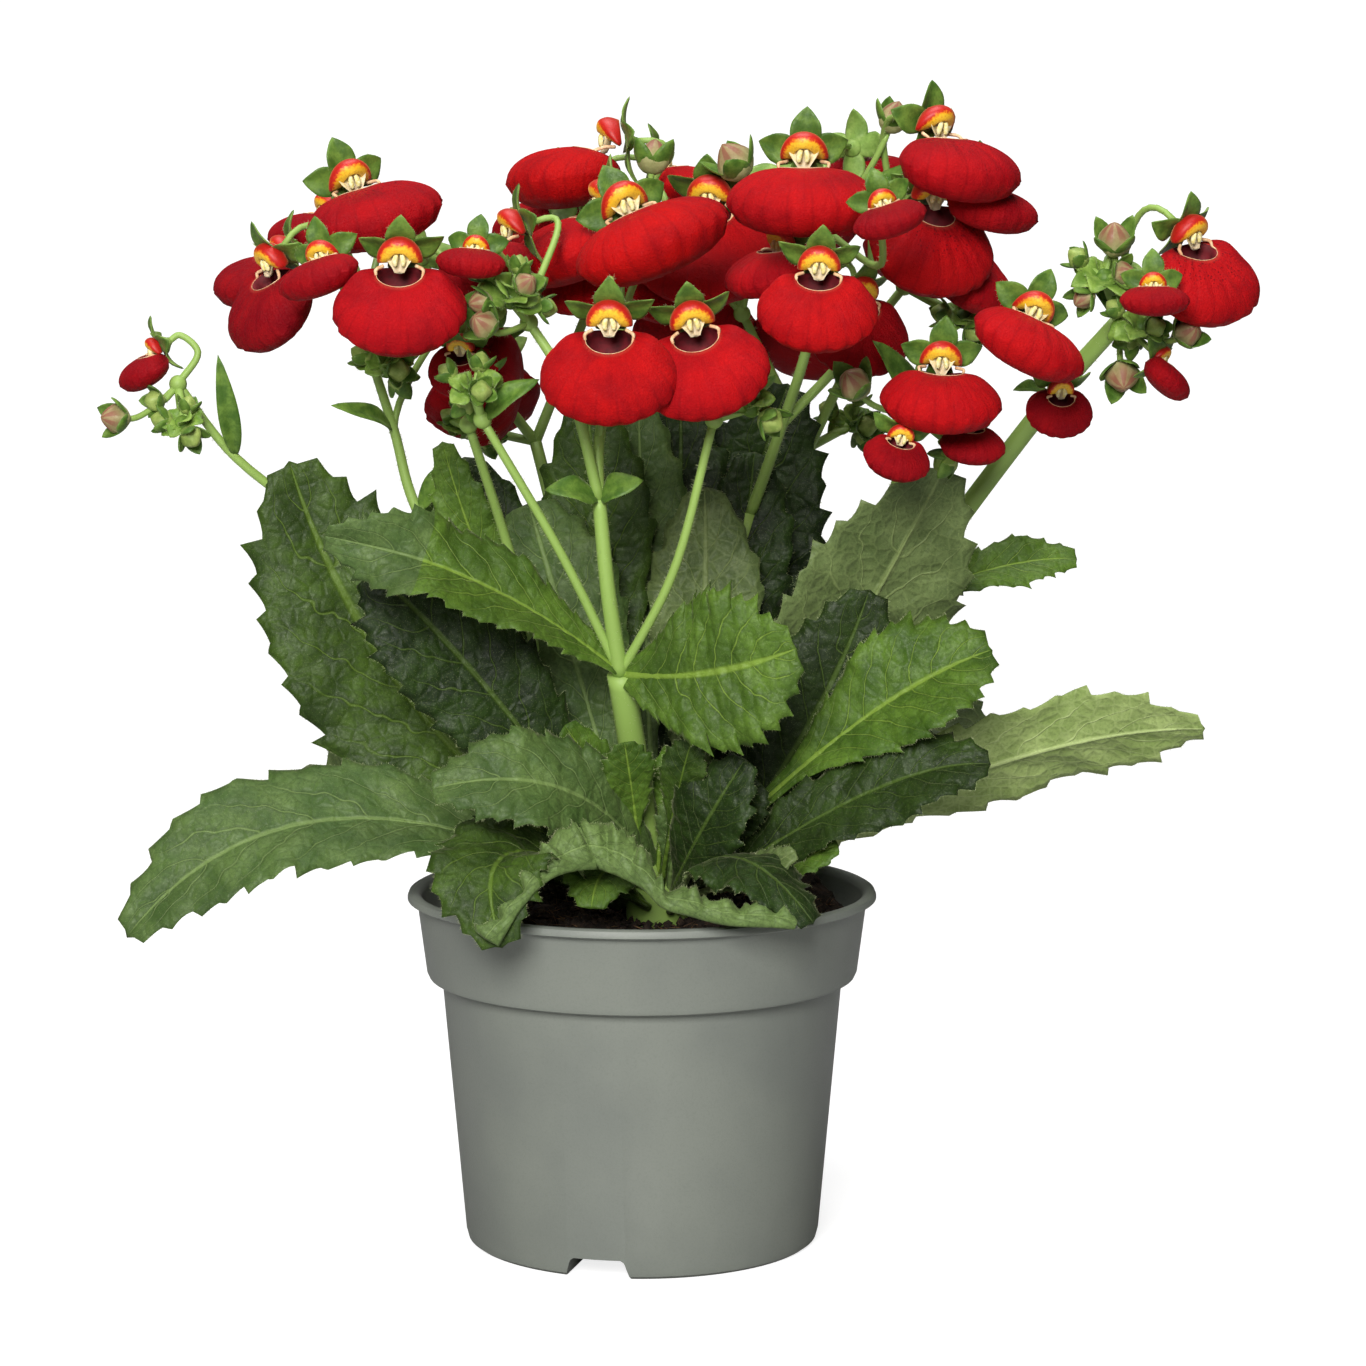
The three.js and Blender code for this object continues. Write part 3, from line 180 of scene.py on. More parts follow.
# Each node of open flowers: its shade, from 0 for scarlet to 1 for dark crimson, then for each
# flower the place of its hood, its heading, droop and roll in degrees, its width, the fork that
# it grows from and, for some, a place that its stalk passes.
BLOOMS = {
    "bloom_left_top": (0.55, ((-71, -15, 271), 25, 8, -16, 35, "s2")),
    "bloom_left_outer": (0.8, ((-92, 8, 253), -75, 15, 10, 27, "s2")),
    "bloom_left_behind": (0.75, ((-82, 30, 264), -50, 12, 0, 24, "s2")),
    "bloom_left_hanging": (0.85, ((-92, -20, 250), -55, 55, 0, 30, "s2")),
    "bloom_left_small": (0.7, ((-77, -44, 254), -15, 14, -18, 21, "s2", (-72, -16, 238))),
    "bloom_left_front": (0.5, ((-57, -57, 252), 0, 50, 0, 32, "s2", (-62, -22, 238))),
    "bloom_top_left": (0.12, ((-10, 22, 281), -88, 6, 0, 38, "k3")),
    "bloom_under_top": (0.2, ((-11, 0, 265), -78, 20, 0, 38, "c4"),
        ((-15, 14, 252), -30, 40, 0, 23, "c4")),
    "bloom_left_inner": (0.75, ((-33, -21, 259), -75, 22, 0, 32, "c3")),
    "bloom_crest": (0.1, ((-3, -26, 265), 15, 2, -22, 40, "c4")),
    "bloom_core": (0.35, ((17, 12, 265), -12, 45, 0, 38, "q2", (30, 32, 262)),
        ((5, 21, 250), 20, 45, 0, 23, "q2", (14, 42, 249))),
    "bloom_side_facing": (0.2, ((6, 44, 276), 75, 10, 0, 27, "k3")),
    "bloom_top_middle": (0.3, ((40, -27, 277), -4, 16, 0, 37, "m4")),
    "bloom_top_back": (0.75, ((57, 45, 279), 150, 10, 0, 28, "m4")),
    "bloom_top_right": (0.5, ((74, -20, 284), 40, 18, 2, 34, "m5"),
        ((85, -10, 271), 30, 15, 8, 25, "m5")),
    "bloom_right_speckled": (0.3, ((73, -12, 266), 22, 55, 4, 34, "m5"),
        ((82, 3, 255), 50, 40, 5, 27, "m5")),
    "bloom_right_small": (0.8, ((57.5, -60, 267), 8, 12, -18, 18, "m4", (59, -30, 251))),
    "bloom_middle_front": (0.22, ((43, -54, 250.5), -3, 48, 3, 29, "m3", (42, -28, 244))),
    "bloom_middle_left": (0.5, ((34, -16, 256), -55, 25, 0, 24, "m3")),
    "bloom_middle_hanging": (0.62, ((55, -8, 242), 25, 62, 0, 28, "m3")),
    "bloom_centre_pair": (0.2, ((-7, -65, 237), -3, 55, 0, 33, "c2"),
        ((13, -60, 237), 18, 52, -20, 32, "r1", (16, -42, 234))),
    "bloom_low_dark": (0.92, ((-43, -3, 230), -25, 60, -68, 36, "s3")),
    "bloom_right_front": (0.3, ((73.8, -32, 227.3), 0, 24, 4, 30, "g1")),
    "bloom_right_tilted": (0.3, ((96, -40, 240), 6, 15, 26, 30, "h1")),
    "bloom_low_small": (0.75, ((63.7, -40, 210), -4, 42, 18, 17, "g1")),
    "bloom_right_nodding": (0.85, ((104, -22, 220), 10, 65, 0, 17, "h1")),
    "bloom_far_right": (0.3, ((136, -25, 257), 50, 42, -14, 32, "h2")),
    "bloom_far_left": (0.8, ((-123, 0, 229), -75, 30, 0, 18, "f2", (-112, 1, 228))),
    "bloom_back_1": (0.5, ((-61, 45, 249), -150, 25, 0, 34, "k2")),
    "bloom_back_2": (0.5, ((-22, 50, 268), -170, 20, 0, 34, "k3"), ((-7, 52, 257), 175, 35, 0, 30, "k3")),
    "bloom_back_3": (0.5, ((39, 46, 270), 165, 20, 0, 34, "q2")),
    "bloom_back_4": (0.5, ((70, 41, 262), 140, 30, 0, 34, "q3")),
    "bloom_back_5": (0.5, ((14, 52, 242), 178, 45, 0, 34, "q2"), ((44, 48, 240), 160, 48, 0, 32, "q3")),
    "bloom_back_6": (0.5, ((-42, 48, 224), -155, 45, 0, 32, "k2")),
}
# The flowers that are still half shut, which grow as part of their spray.
HALF_OPEN = (
    ((-39, -50, 256), -10, 5, 5, 17, "c3"),
    ((-44, -32, 231), -15, 72, 0, 18, "t1", (-43, -20, 237)),
    ((81, -26, 212), 20, 30, 0, 17, "g1"),
    ((124, -43, 247), 0, 8, 0, 17, "h2"),
    ((129, -20, 228), 60, 35, 20, 17, "h2"),
)
# Each leaf is a node of its own.
LEAVES = {
    "leaf_left_tall": Leaf(((-1, -9, 88), (-58, 4, 138), (-90, 8, 200)), (0.1, -0.95, 0.3), 24, 0.1, 1.6,
        8, "green"),
    "leaf_left_dark": Leaf(((1, -11, 92), (-41, -20, 148), (-68, -16, 174)), (0.1, -0.93, 0.3), 16, 0.08,
        1.2, 7, "dark"),
    "leaf_right_pale": Leaf(((12, -8, 88), (48, -4, 147), (76, -12, 200)), (-0.3, 0.85, 0.3), 23, -0.1,
        1.4, 7, "dark"),
    "leaf_right_dark": Leaf(((13, -10, 93), (40, -17, 132), (57, -20, 170)), (0.1, -0.9, 0.3), 15, 0.1,
        1.2, 6, "dark"),
    "leaf_right_long": Leaf(((12.5, -5, 90), (88, 2, 122), (143, -6, 133)), (0.05, 0.8, 0.55), 14, 0.15,
        1.6, 7, "bright"),
    "leaf_right_low": Leaf(((9, -17, 88), (54, -36, 120), (86, -42, 129)), (0.1, -0.75, 0.6), 11, 0.2, 2,
        6, "dark"),
    "leaf_right_bright": Leaf(((12, -12, 96), (52, -29, 136), (87, -31, 156)), (-0.2, -0.8, 0.5), 15, 0.3,
        1.4, 6, "bright", bare=0.4),
    "leaf_left_long": Leaf(((-3.5, -12, 90), (-76, -22, 112), (-128, -32, 84)), (0.1, -0.65, 0.75), 16,
        0.2, 1.6, 7, "grey"),
    "leaf_front_grey": Leaf(((4, -14, 94), (-17, -42, 122), (-51, -50, 124)), (0, -0.8, 0.55), 13, 0.15,
        1.4, 7, "grey"),
    "leaf_front_low": Leaf(((2, -17, 89), (-31, -49, 108), (-33, -66, 88)), (-0.2, -0.6, 0.75), 15, 0.25,
        2, 7, "green"),
    "leaf_front_arch": Leaf(((7, -17.5, 88), (22, -48, 107), (42, -62, 93)), (-0.2, -0.5, 0.85), 10.5,
        0.1, 2.2, 7, "dark", sag=0.7),
    "leaf_back_right": Leaf(((9, -2, 88), (22, 34, 160), (38, 39, 218)), (0.1, -0.9, 0.4), 20, 0.12, 1.6,
        7, "dark"),
    "leaf_back_left_low": Leaf(((-1.5, -4, 89), (-50, 52, 122), (-84, 82, 106)), (0.3, 0.1, 0.95), 17,
        0.2, 1.8, 6, "green"),
    "leaf_back_low": Leaf(((4, -1, 89), (12, 62, 124), (14, 100, 104)), (0, 0.2, 0.95), 17, 0.2, 1.8, 6,
        "dark"),
    "leaf_back_right_low": Leaf(((10, -2.5, 89), (60, 54, 124), (96, 80, 108)), (-0.3, 0.1, 0.95), 16,
        0.2, 1.8, 6, "green"),
    "leaf_back_left_tall": Leaf(((1, -2, 88), (-36, 60, 150), (-58, 76, 190)), (0.3, -0.6, 0.6), 17, 0.12,
        1.6, 6, "green"),
}
# The leaves that are fused into the sprays and the crown.
STEM_LEAVES = {
    "spray_centre": (
        Leaf(("n1", (-38, -42, 173), (-77, -45, 186)), (-0.2, -0.65, 0.75), 12, 0.25, 1.4, 8, "bright",
            twist=-1.3, twist_from=0.62, pale=0.7),
        Leaf(("n1", (16, -44, 152), (38, -52, 159)), (0.1, -0.95, 0.15), 19, 0.1, 1.4, 7, "bright"),
    ),
    "spray_left": (
        Leaf(("left0", (-40, -1, 174), (-50, -7, 206)), (0, -1, 0.1), 7, 0.1, 1, 5, "bright"),
    ),
    "spray_right": (
        Leaf(("h4", (92, 22, 171), (113, 26, 173)), (0, -0.75, 0.65), 7, 0.2, 1, 5, "bright"),
    ),
    "crown": (
        Leaf(((-1, -4, 92), (-29, 14, 150), (-46, 22, 200)), (0, -1, 0.1), 14, 0.15, 1.8, 4, "dark",
            bare=0.3),
        Leaf(((0, -8, 92), (-17, -2, 150), (-29, 10, 189)), (0, -1, 0.1), 16, 0.1, 1.4, 4, "grey",
            bare=0.25),
        Leaf(((3, -4, 92), (-8, 8, 160), (-14, 11, 216)), (0, -1, 0.1), 13, 0.1, 1.4, 4, "green",
            bare=0.4),
        Leaf(((8, -6, 92), (15, 5, 145), (16, 14, 193)), (0, -1, 0.1), 14, 0.1, 1.4, 4, "back", bare=0.3),
        Leaf(((9, -3, 92), (22, 16, 150), (29, 26, 201)), (0, -1, 0.1), 12, 0.1, 1.8, 4, "dark",
            bare=0.4),
        Leaf(((7, -15, 90), (14, -34, 109), (26, -39, 130)), (-0.1, -0.75, 0.55), 10.5, 0.12, 0.8, 5,
            "dark", bare=0.2),
        Leaf(((-1, -15, 94), (-9, -22, 118), (-19, -29, 137)), (0, -0.8, 0.5), 6, 0.15, 0.6, 3, "bright",
            bare=0.4),
        Leaf(((4, -16, 94), (7, -25, 119), (14, -30, 130)), (0, -0.8, 0.5), 6, 0.15, 0.6, 3, "bright",
            bare=0.4),
    ),
}

# Leaves too small or too hidden for the solids, which grow from the crown between the others.
INNER_LEAVES = (
    Leaf(((4, -3, 92), (1, 14, 152), (-1, 20, 216)), (0, -1, 0.1), 12, 0.1, 1.4, 5, "grey", bare=0.4),
    Leaf(((6, -2, 92), (9, 20, 152), (10, 28, 219)), (0, -1, 0.1), 13, 0.1, 1.4, 5, "dark", bare=0.4),
    Leaf(((7, -15, 92), (9, -24, 108), (14, -27, 122)), (0.1, -0.9, 0.3), 6, 0.1, 0.6, 4, "grey",
        bare=0.3),
    Leaf(((1, -17, 94), (-2, -30, 119), (-4, -37, 134)), (0, -0.8, 0.5), 6, 0.15, 0.6, 4, "bright",
        bare=0.4),
    Leaf(((5, -17, 94), (9, -31, 119), (13, -38, 135)), (0, -0.8, 0.5), 5.5, 0.15, 0.6, 4, "green",
        bare=0.4),
    Leaf(((9, -16, 92), (24, -41, 100), (38, -50, 109)), (0, -0.7, 0.7), 5, 0.15, 0.6, 4, "back",
        bare=0.3),
    Leaf(((11, -11, 91), (33, -29, 101), (49, -36, 108)), (0, -0.7, 0.7), 6, 0.15, 0.6, 4, "bright",
        bare=0.3),
    Leaf(((0, -16, 90), (-8, -34, 101), (-12, -47, 94)), (0, -0.5, 0.85), 9, 0.1, 0.8, 5, "bright",
        bare=0.2),
    Leaf(((0, -13, 92), (-7, -19, 112), (-14, -20, 124)), (-0.1, -0.85, 0.5), 6, 0.12, 0.6, 4, "green",
        bare=0.3),
    Leaf(((10, -14, 92), (22, -24, 112), (30, -27, 122)), (0, -0.85, 0.5), 7, 0.12, 0.8, 4, "dark",
        bare=0.3),
)

# The flowers whose front is speckled round the mouth.
SPECKLED = ("bloom_top_right", "bloom_right_speckled", "bloom_far_right", "bloom_left_top")
# The look of each leaf: the names of the finishes of its upper and of its lower side.
LOOKS = {
    "dark": ("leaf_dark", "leaf_under"), "green": ("leaf_green", "leaf_under"),
    "bright": ("leaf_bright", "leaf_under_pale"), "grey": ("leaf_grey", "leaf_under"),
    "back": ("leaf_under", "leaf_under"),
}
# Margins that curl up and over in a ruffle and show the lower side: upper and lower edge.
RUFFLES = {
    "leaf_front_low": (
        ((-40, -67, 92), (-30, -64, 99), (-26.5, -61, 107), (-21.5, -57, 112.5), (-15, -53, 117)),
        ((-34, -69, 88.5), (-28, -66.5, 98), (-21.5, -62.5, 104), (-15.5, -59, 105.5), (-10, -56, 105.5)),
    ),
    "leaf_front_arch": (
        ((-15, -53, 117), (-4.5, -54, 114.5), (2.5, -57, 108), (5.5, -59, 101.5), (12.5, -60, 101),
         (20, -61, 98), (33, -62, 97), (37.5, -62, 93.5)),
        ((-10, -56, 105.5), (-5.5, -57, 104), (1, -60, 101), (5.5, -62, 97), (12.5, -63, 95),
         (21, -63.5, 93), (33, -64, 92.5), (37.5, -63.5, 92)),
    ),
}

# The pot's section, from its foot up its outside, over the lip and down its inside, in mm.
POT = (
    (42.6, 0), (43.8, 0), (44.9, 0.8), (45.5, 3), (51.3, 68.2), (51.5, 68.7), (54.0, 68.7), (54.6, 69.0),
    (55.2, 70.3), (57.5, 87.9), (57.8, 88.5), (59.3, 88.6), (60, 89.0), (60, 89.6), (59.6, 90.6),
    (58.9, 91), (57.8, 91), (56.8, 90.4), (56.2, 89), (53.8, 71.6), (53.2, 70.8), (50.4, 68.3),
    (49.9, 67.3), (44.1, 3.4), (43.6, 2.2), (42.8, 1.5), (41.5, 1.4),
)
FLOOR = 1.4
# Half the section of a drainage channel: its half width at each height over the ground.
CHANNEL = ((8.6, -1), (7.2, 3.7), (6.8, 4.5), (6.0, 5))
CHANNELS = [math.radians(-104 + 120 * k) for k in range(3)]
CHANNEL_START, HOLE_AT, HOLE_RADIUS = 23.0, 35, 3.2
# The height and the radius of the peat's top, and the side of the root ball from the top down.
SOIL_LEVEL, SOIL_RADIUS = 84.3, 52.4
SOIL_WALL = ((52.6, 79), (52, 72), (49.3, 67.5), (46, 30), (43.3, 7.6))
STALK_FOOT, STALK_TOP = (4.0, -9.0, 76.0), (4.0, -9.0, 99.0)
# The camera's place in metres.
CAMERA_AT = (0.0105, -1.054, 0.279)

# ---------------------------------------------------------------- small helpers


def place(spot):
    """A point in mm, given by the name of a fork or by its own three numbers."""
    return np.array(FORKS[spot] if isinstance(spot, str) else spot, float)


def unit(vectors):
    """The same vectors, each divided by its length."""
    return vectors / np.maximum(np.linalg.norm(vectors, axis=-1, keepdims=True), 1e-9)


def smooth(low, high, x):
    """A step from 0 to 1 between two limits, level at both ends: 3t^2 - 2t^3."""
    t = np.clip((x - low) / (high - low), 0, 1)
    return t * t * (3 - 2 * t)


def arch(share, power=1.0):
    """An arch over the shares from 0 to 1: sin(pi * share) to a power."""
    return np.sin(np.pi * share).clip(0) ** power


def turned(vectors, axis, angle):
    """Vectors turned about an axis by an angle in radians, which may differ for each of them."""
    angle = np.asarray(angle)[..., None]
    along = (vectors * axis).sum(-1, keepdims=True) * axis
    across = np.cross(axis, vectors)
    return along + (vectors - along) * np.cos(angle) + across * np.sin(angle)


def bezier(points, t):
    """Points of a Bezier curve of the second or third degree at the shares t."""
    t, p = t[:, None], points
    if len(p) == 3:
        return p[0] * (1 - t) ** 2 + 2 * p[1] * t * (1 - t) + p[2] * t**2
    return p[0] * (1 - t) ** 3 + 3 * p[1] * t * (1 - t) ** 2 + 3 * p[2] * t**2 * (1 - t) + p[3] * t**3


def through(points, steps):
    """A smooth curve through all the points: on each span a cubic whose slopes at both ends come
    from the points round it, weighed by the square root of their distances."""
    p = np.asarray(points, float)
    if len(p) == 2:
        return p[0] + (p[1] - p[0]) * np.linspace(0, 1, steps + 1)[:, None]
    q = np.vstack([2 * p[0] - p[1], p, 2 * p[-1] - p[-2]])
    a, b, c, d = q[:-3], q[1:-2], q[2:-1], q[3:]
    r, s, u = (np.sqrt(np.linalg.norm(y - x, axis=1, keepdims=True)) + 1e-9
               for x, y in ((a, b), (b, c), (c, d)))
    left = ((b - a) / r - (c - a) / (r + s) + (c - b) / s) * s
    right = ((c - b) / s - (d - b) / (s + u) + (d - c) / u) * s
    t = np.linspace(0, 1, steps, endpoint=False)[None, :, None]
    b, c, left, right = (m[:, None, :] for m in (b, c, left, right))
    square, cube = 3 * (c - b) - 2 * left - right, 2 * (b - c) + left + right
    curve = b + left * t + square * t**2 + cube * t**3
    return np.vstack([curve.reshape(-1, 3), p[-1]])


def frames(path):
    """The tangent of a path and two directions square to it. The first is square to the plane
    that the path lies nearest to, so that it never turns over."""
    along = unit(np.gradient(path, axis=0))
    flat = np.linalg.svd(path - path.mean(0))[2][-1]
    across = unit(np.cross(along, flat))
    return along, across, np.cross(across, along)


def link(name, data):
    """A new object of the scene."""
    thing = bpy.data.objects.new(name, data)
    bpy.context.scene.collection.objects.link(thing)
    return thing


def hand_over(mesh, name):
    """Puts a mesh into the scene as the piece that replaces the solid of the same name."""
    piece = link(f"{name}_fine", mesh)
    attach(piece, "root")
    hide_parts(name)


class Skin:
    """The closed surfaces of one piece, gathered as arrays before they become one mesh."""

    def __init__(self):
        self.points, self.faces, self.corners, self.finish, self.tint = [], [], [], [], []
        self.names = []
        self.count = 0

    def slot(self, name):
        """The place of a material in the mesh's list of them."""
        if name not in self.names:
            self.names.append(name)
        return self.names.index(name)

    def add_faces(self, faces, corners, finish):
        """Faces that count from the next point to come, with the places of their corners in the
        pattern and the numbers of their materials."""
        self.faces.append(faces + self.count)
        self.corners.append(corners)
        self.finish.append(finish)

    def add_points(self, points, tint):
        """Points in mm that all have the same tint."""
        self.points.append(points)
        self.tint.append(np.broadcast_to(tint, len(points)))
        self.count += len(points)

    def surface(self, grid, finish, tint=0.0, across=None, along=None, by_row=False):
        """A grid of points whose columns run round and meet, and whose first and last rows are
        drawn together to a point each, so that the surface is closed. It is turned so that its
        faces point outwards, by the sign of its volume. `finish` is a material's name, or names
        for the columns or rows; `across` and `along` are the two coordinates of its pattern."""
        rows, columns = grid.shape[:2]
        index = np.arange(rows * columns).reshape(rows, columns)
        points = grid.reshape(-1, 3).copy()
        for end in (0, -1):
            index[end] = index[end, 0]
            points[index[end, 0]] = grid[end].mean(0)
        u = np.arange(columns + 1) / columns if across is None else across
        v = np.arange(rows) / (rows - 1) if along is None else along
        uv = np.stack(np.broadcast_arrays(u, v[:, None]), -1)
        wrapped = np.concatenate([index, index[:, :1]], 1)
        quads, corners = (
            np.stack([a[:-1, :-1], a[:-1, 1:], a[1:, 1:], a[1:, :-1]], 2) for a in (wrapped, uv)
        )
        names, which = np.unique(finish, return_inverse=True)
        slots = np.array([self.slot(name) for name in names])[which].reshape(np.shape(finish))
        slots = np.broadcast_to(slots[:, None] if by_row else slots, quads.shape[:2])
        a, b, c, d = (points[quads[..., k]] for k in range(4))
        volume = (np.cross(c - a, d - b) * (a + b + c + d)).sum()
        turn = 1 if volume >= 0 else -1
        for part, kept in ((slice(0, 1), (0, 2, 3)), (slice(1, -1), (0, 1, 2, 3)),
                           (slice(-1, None), (0, 1, 3))):
            kept = list(kept[::turn])
            self.add_faces(quads[part][..., kept].reshape(-1, len(kept)),
                           corners[part][..., kept, :], slots[part].ravel())
        self.add_points(points, tint)

    def solids(self, points, pattern, finish):
        """Many like solids: for each a row of corners, with the same pattern of triangles."""
        count, corners = points.shape[:2]
        faces = (np.arange(count)[:, None, None] * corners + np.array(pattern)).reshape(-1, 3)
        slots = np.full(len(faces), self.slot(finish))
        self.add_faces(faces, np.zeros((len(faces), 3, 2)), slots)
        self.add_points(points.reshape(-1, 3), 0.0)

    def hairs(self, roots, tips, width, finish):
        """Fine hairs, each one a thin four-sided dart from its root to its tip."""
        along = unit(tips - roots)
        side = unit(np.cross(along, UP + 0.01)) * width
        other = np.cross(along, side)
        foot = [roots + side, roots - 0.5 * side + 0.87 * other, roots - 0.5 * side - 0.87 * other]
        self.solids(np.stack([*foot, tips], 1), [(0, 1, 3), (1, 2, 3), (2, 0, 3), (0, 2, 1)], finish)

    def mesh(self, name):
        """The arrays as one mesh, in metres, with its pattern, shades and materials."""
        points = np.concatenate(self.points) * MM
        used = np.zeros(len(points), bool)
        for faces in self.faces:
            used[faces.ravel()] = True
        number = np.cumsum(used) - 1
        loops = np.concatenate([number[faces].ravel() for faces in self.faces])
        sizes = np.concatenate([np.full(len(faces), faces.shape[1]) for faces in self.faces])
        mesh = bpy.data.meshes.new(name)
        mesh.vertices.add(int(used.sum()))
        mesh.vertices.foreach_set("co", points[used].ravel())
        mesh.loops.add(len(loops))
        mesh.loops.foreach_set("vertex_index", loops)
        mesh.polygons.add(len(sizes))
        mesh.polygons.foreach_set("loop_start", np.cumsum(sizes) - sizes)
        mesh.polygons.foreach_set("material_index", np.concatenate(self.finish))
        mesh.polygons.foreach_set("use_smooth", np.ones(len(sizes), bool))
        mesh.update(calc_edges=True)
        layer = mesh.uv_layers.new(name="UVMap")
        layer.data.foreach_set("uv", np.concatenate([c.ravel() for c in self.corners]))
        attribute = mesh.attributes.new("tint", "FLOAT", "POINT")
        attribute.data.foreach_set("value", np.concatenate(self.tint)[used])
        for finish in self.names:
            mesh.materials.append(bpy.data.materials[finish])
        return mesh


def rings(path, sides):
    """Round each point of a path the unit vectors square to it that go once round."""
    _, across, upright = frames(path)
    turn = np.linspace(0, 2 * np.pi, sides, endpoint=False)[None, :, None]
    return across[:, None] * np.cos(turn) + upright[:, None] * np.sin(turn)


def tube(skin, path, radii, sides, finish, tint=0.0, u=None):
    """A round bar: a circle of the given radius carried along the path, drawn in to a point at both
    ends. `u` is the coordinate of its pattern across it."""
    ring = rings(path, sides)
    radii = np.pad(np.broadcast_to(radii, len(path)).astype(float), 1)[:, None, None]
    path, ring = (np.concatenate([a[:1], a, a[-1:]]) for a in (path, ring))
    skin.surface(path[:, None] + ring * radii, finish, tint, u)


def scattered(rows, count, random):
    """A function that reads any list of so many rows at the same random places, between the two
    rows next to each."""
    at = random.uniform(0, rows - 1.001, count)
    low, share = at.astype(int), (at % 1)[:, None]
    return lambda values: values[low] * (1 - share) + values[low + 1] * share


def fuzz(skin, path, radii, count, length, random):
    """Hairs that stand out of a bar in every direction, leaning a little up it."""
    along, across, upright = frames(path)
    read = scattered(len(path), count, random)
    turn = random.uniform(0, 2 * np.pi, count)[:, None]
    out = unit(read(across) * np.cos(turn) + read(upright) * np.sin(turn))
    root = read(path) + out * read(np.broadcast_to(radii, len(path))[:, None]) * 0.9
    lean = out + 0.25 * read(along) + random.normal(0, 0.18, (count, 3))
    reach = length * random.uniform(0.5, 1.15, count)[:, None]
    skin.hairs(root, root + unit(lean) * reach, STEM_HAIR, "fine_hair")


def margin_fuzz(skin, grid, count, length, random, margins=(0, -1), first=1):
    """Hairs along the margins of a blade's grid that point away from its middle."""
    grid = grid[first:-1]
    for column in margins:
        read = scattered(len(grid), count, random)
        root = read(grid[:, column])
        away = unit(root - read(grid[:, grid.shape[1] // 2])) + random.normal(0, 0.3, (count, 3))
        reach = length * random.uniform(0.5, 1.2, count)[:, None]
        skin.hairs(root, root + unit(away) * reach, MARGIN_HAIR, "fine_hair")


def blade(skin, middle, side, up, half, lift, thickness, finish, tint=0.0, shift=0.0, pale=None):
    """A leaf: at each step along its middle line a row of points that reaches half a width to
    either side, with a second row under it, drawn together at root and tip. `lift` is how far in
    mm each point stands up from the flat strip and `shift` how it moves besides. The rows part by
    thickness * (1 - v^8), where v is -1 and 1 at the margins. `finish` names the upper and the
    lower side. In the rows where `pale` is true both are grey with hairs."""
    columns = lift.shape[1]
    v = np.linspace(-1, 1, columns)
    side, up = (np.broadcast_to(a, middle.shape)[:, None] for a in (side, up))
    grid = middle[:, None] + side * (half[:, None] * v)[..., None] + (up * lift[..., None] + shift)
    part = thickness / 2 * (1 - v**8)[None, :, None] + 0.02
    normal = unit(np.cross(np.gradient(grid, axis=0), np.gradient(grid, axis=1)))
    normal *= np.sign((normal * up).sum(-1, keepdims=True) + 1e-9)
    ring = np.concatenate([grid + normal * part, (grid - normal * part)[:, ::-1]], 1)
    u = np.concatenate([(v + 1) / 2, (v[::-1] + 1) / 2, [0]])
    names = np.repeat(finish, columns)
    if pale is not None:
        names = np.where(pale[1:, None], "leaf_grey", names)
    skin.surface(ring, names, tint, u)
    return grid


# ---------------------------------------------------------------- flowers

# The pouch's sizes, in shares of half its width, and the power of its flat ball.
POUCH = {"length": 0.78, "depth": 0.42, "middle": 0.98, "level": -0.1, "roundness": 2.4}
# The hood's section: distance from its axis in shares of the mouth's radius, and how far forward.
HOOD = (
    (0.84, 0), (0.95, 0.3), (1.0, 0.55), (0.99, 0.78), (0.93, 0.95), (0.8, 1.06),
    (0.62, 1.1), (0.47, 1.06), (0.42, 0.95), (0.5, 0.75), (0.62, 0.45), (0.68, 0.05),
)
# A sepal's half width, in shares of its greatest, at shares of its length.
SEPAL = ((0, 0.5, 0), (0.2, 0.76, 0), (0.45, 0.99, 0), (0.65, 0.93, 0), (0.85, 0.52, 0), (1, 0.02, 0))


class Flower:
    """A flower's own frame: its sizes in mm and the place of a point given in its own axes, x to
    its side, y along it and z up its hood. Heading and droop turn y, which points forward at first,
    and roll turns x and z about it. All sizes grow with half the width."""

    def __init__(self, plan):
        hood_at, heading, droop, roll, width, self.fork, *self.passing = plan
        h, d = math.radians(heading), math.radians(droop)
        self.out = np.array([math.sin(h) * math.cos(d), -math.cos(h) * math.cos(d), -math.sin(d)])
        up = np.array([math.sin(h) * math.sin(d), -math.cos(h) * math.sin(d), math.cos(d)])
        self.up = turned(up, self.out, math.radians(-roll))
        self.side = np.cross(self.out, self.up)
        self.half = half = width / 2
        self.radius = min(2.6 + 0.18 * half, 0.4 * half)
        self.foot_y, self.foot_z = 0.12 * half + 2.2, 0.66 * half - 1.1 * self.radius
        self.hang = float(smooth(15, 50, droop))
        self.lean = math.radians(min(40, max(0, 0.72 * (droop - 12))))
        self.origin = np.array(hood_at, float) - 0.4 * half * self.out - 0.35 * half * self.up
        self.seat = self.at(0, 3 if plan in HALF_OPEN else 1.85, 0.3 * half)

    def at(self, x, y, z):
        """A place from its three sizes in the flower's own axes: origin + x side + y out + z up."""
        x, y, z = (np.asarray(c, float)[..., None] for c in (x, y, z))
        return self.origin + x * self.side + y * self.out + z * self.up

    def cap(self, x, y, z):
        """A place on the hood, which leans back from the pouch about the line of its feet, so
        that it faces forward although the pouch hangs."""
        y, z = np.asarray(y, float) - self.foot_y, np.asarray(z, float) - self.foot_z
        c, s = math.cos(self.lean), math.sin(self.lean)
        return self.at(x, self.foot_y + y * c - z * s, self.foot_z + z * c + y * s)


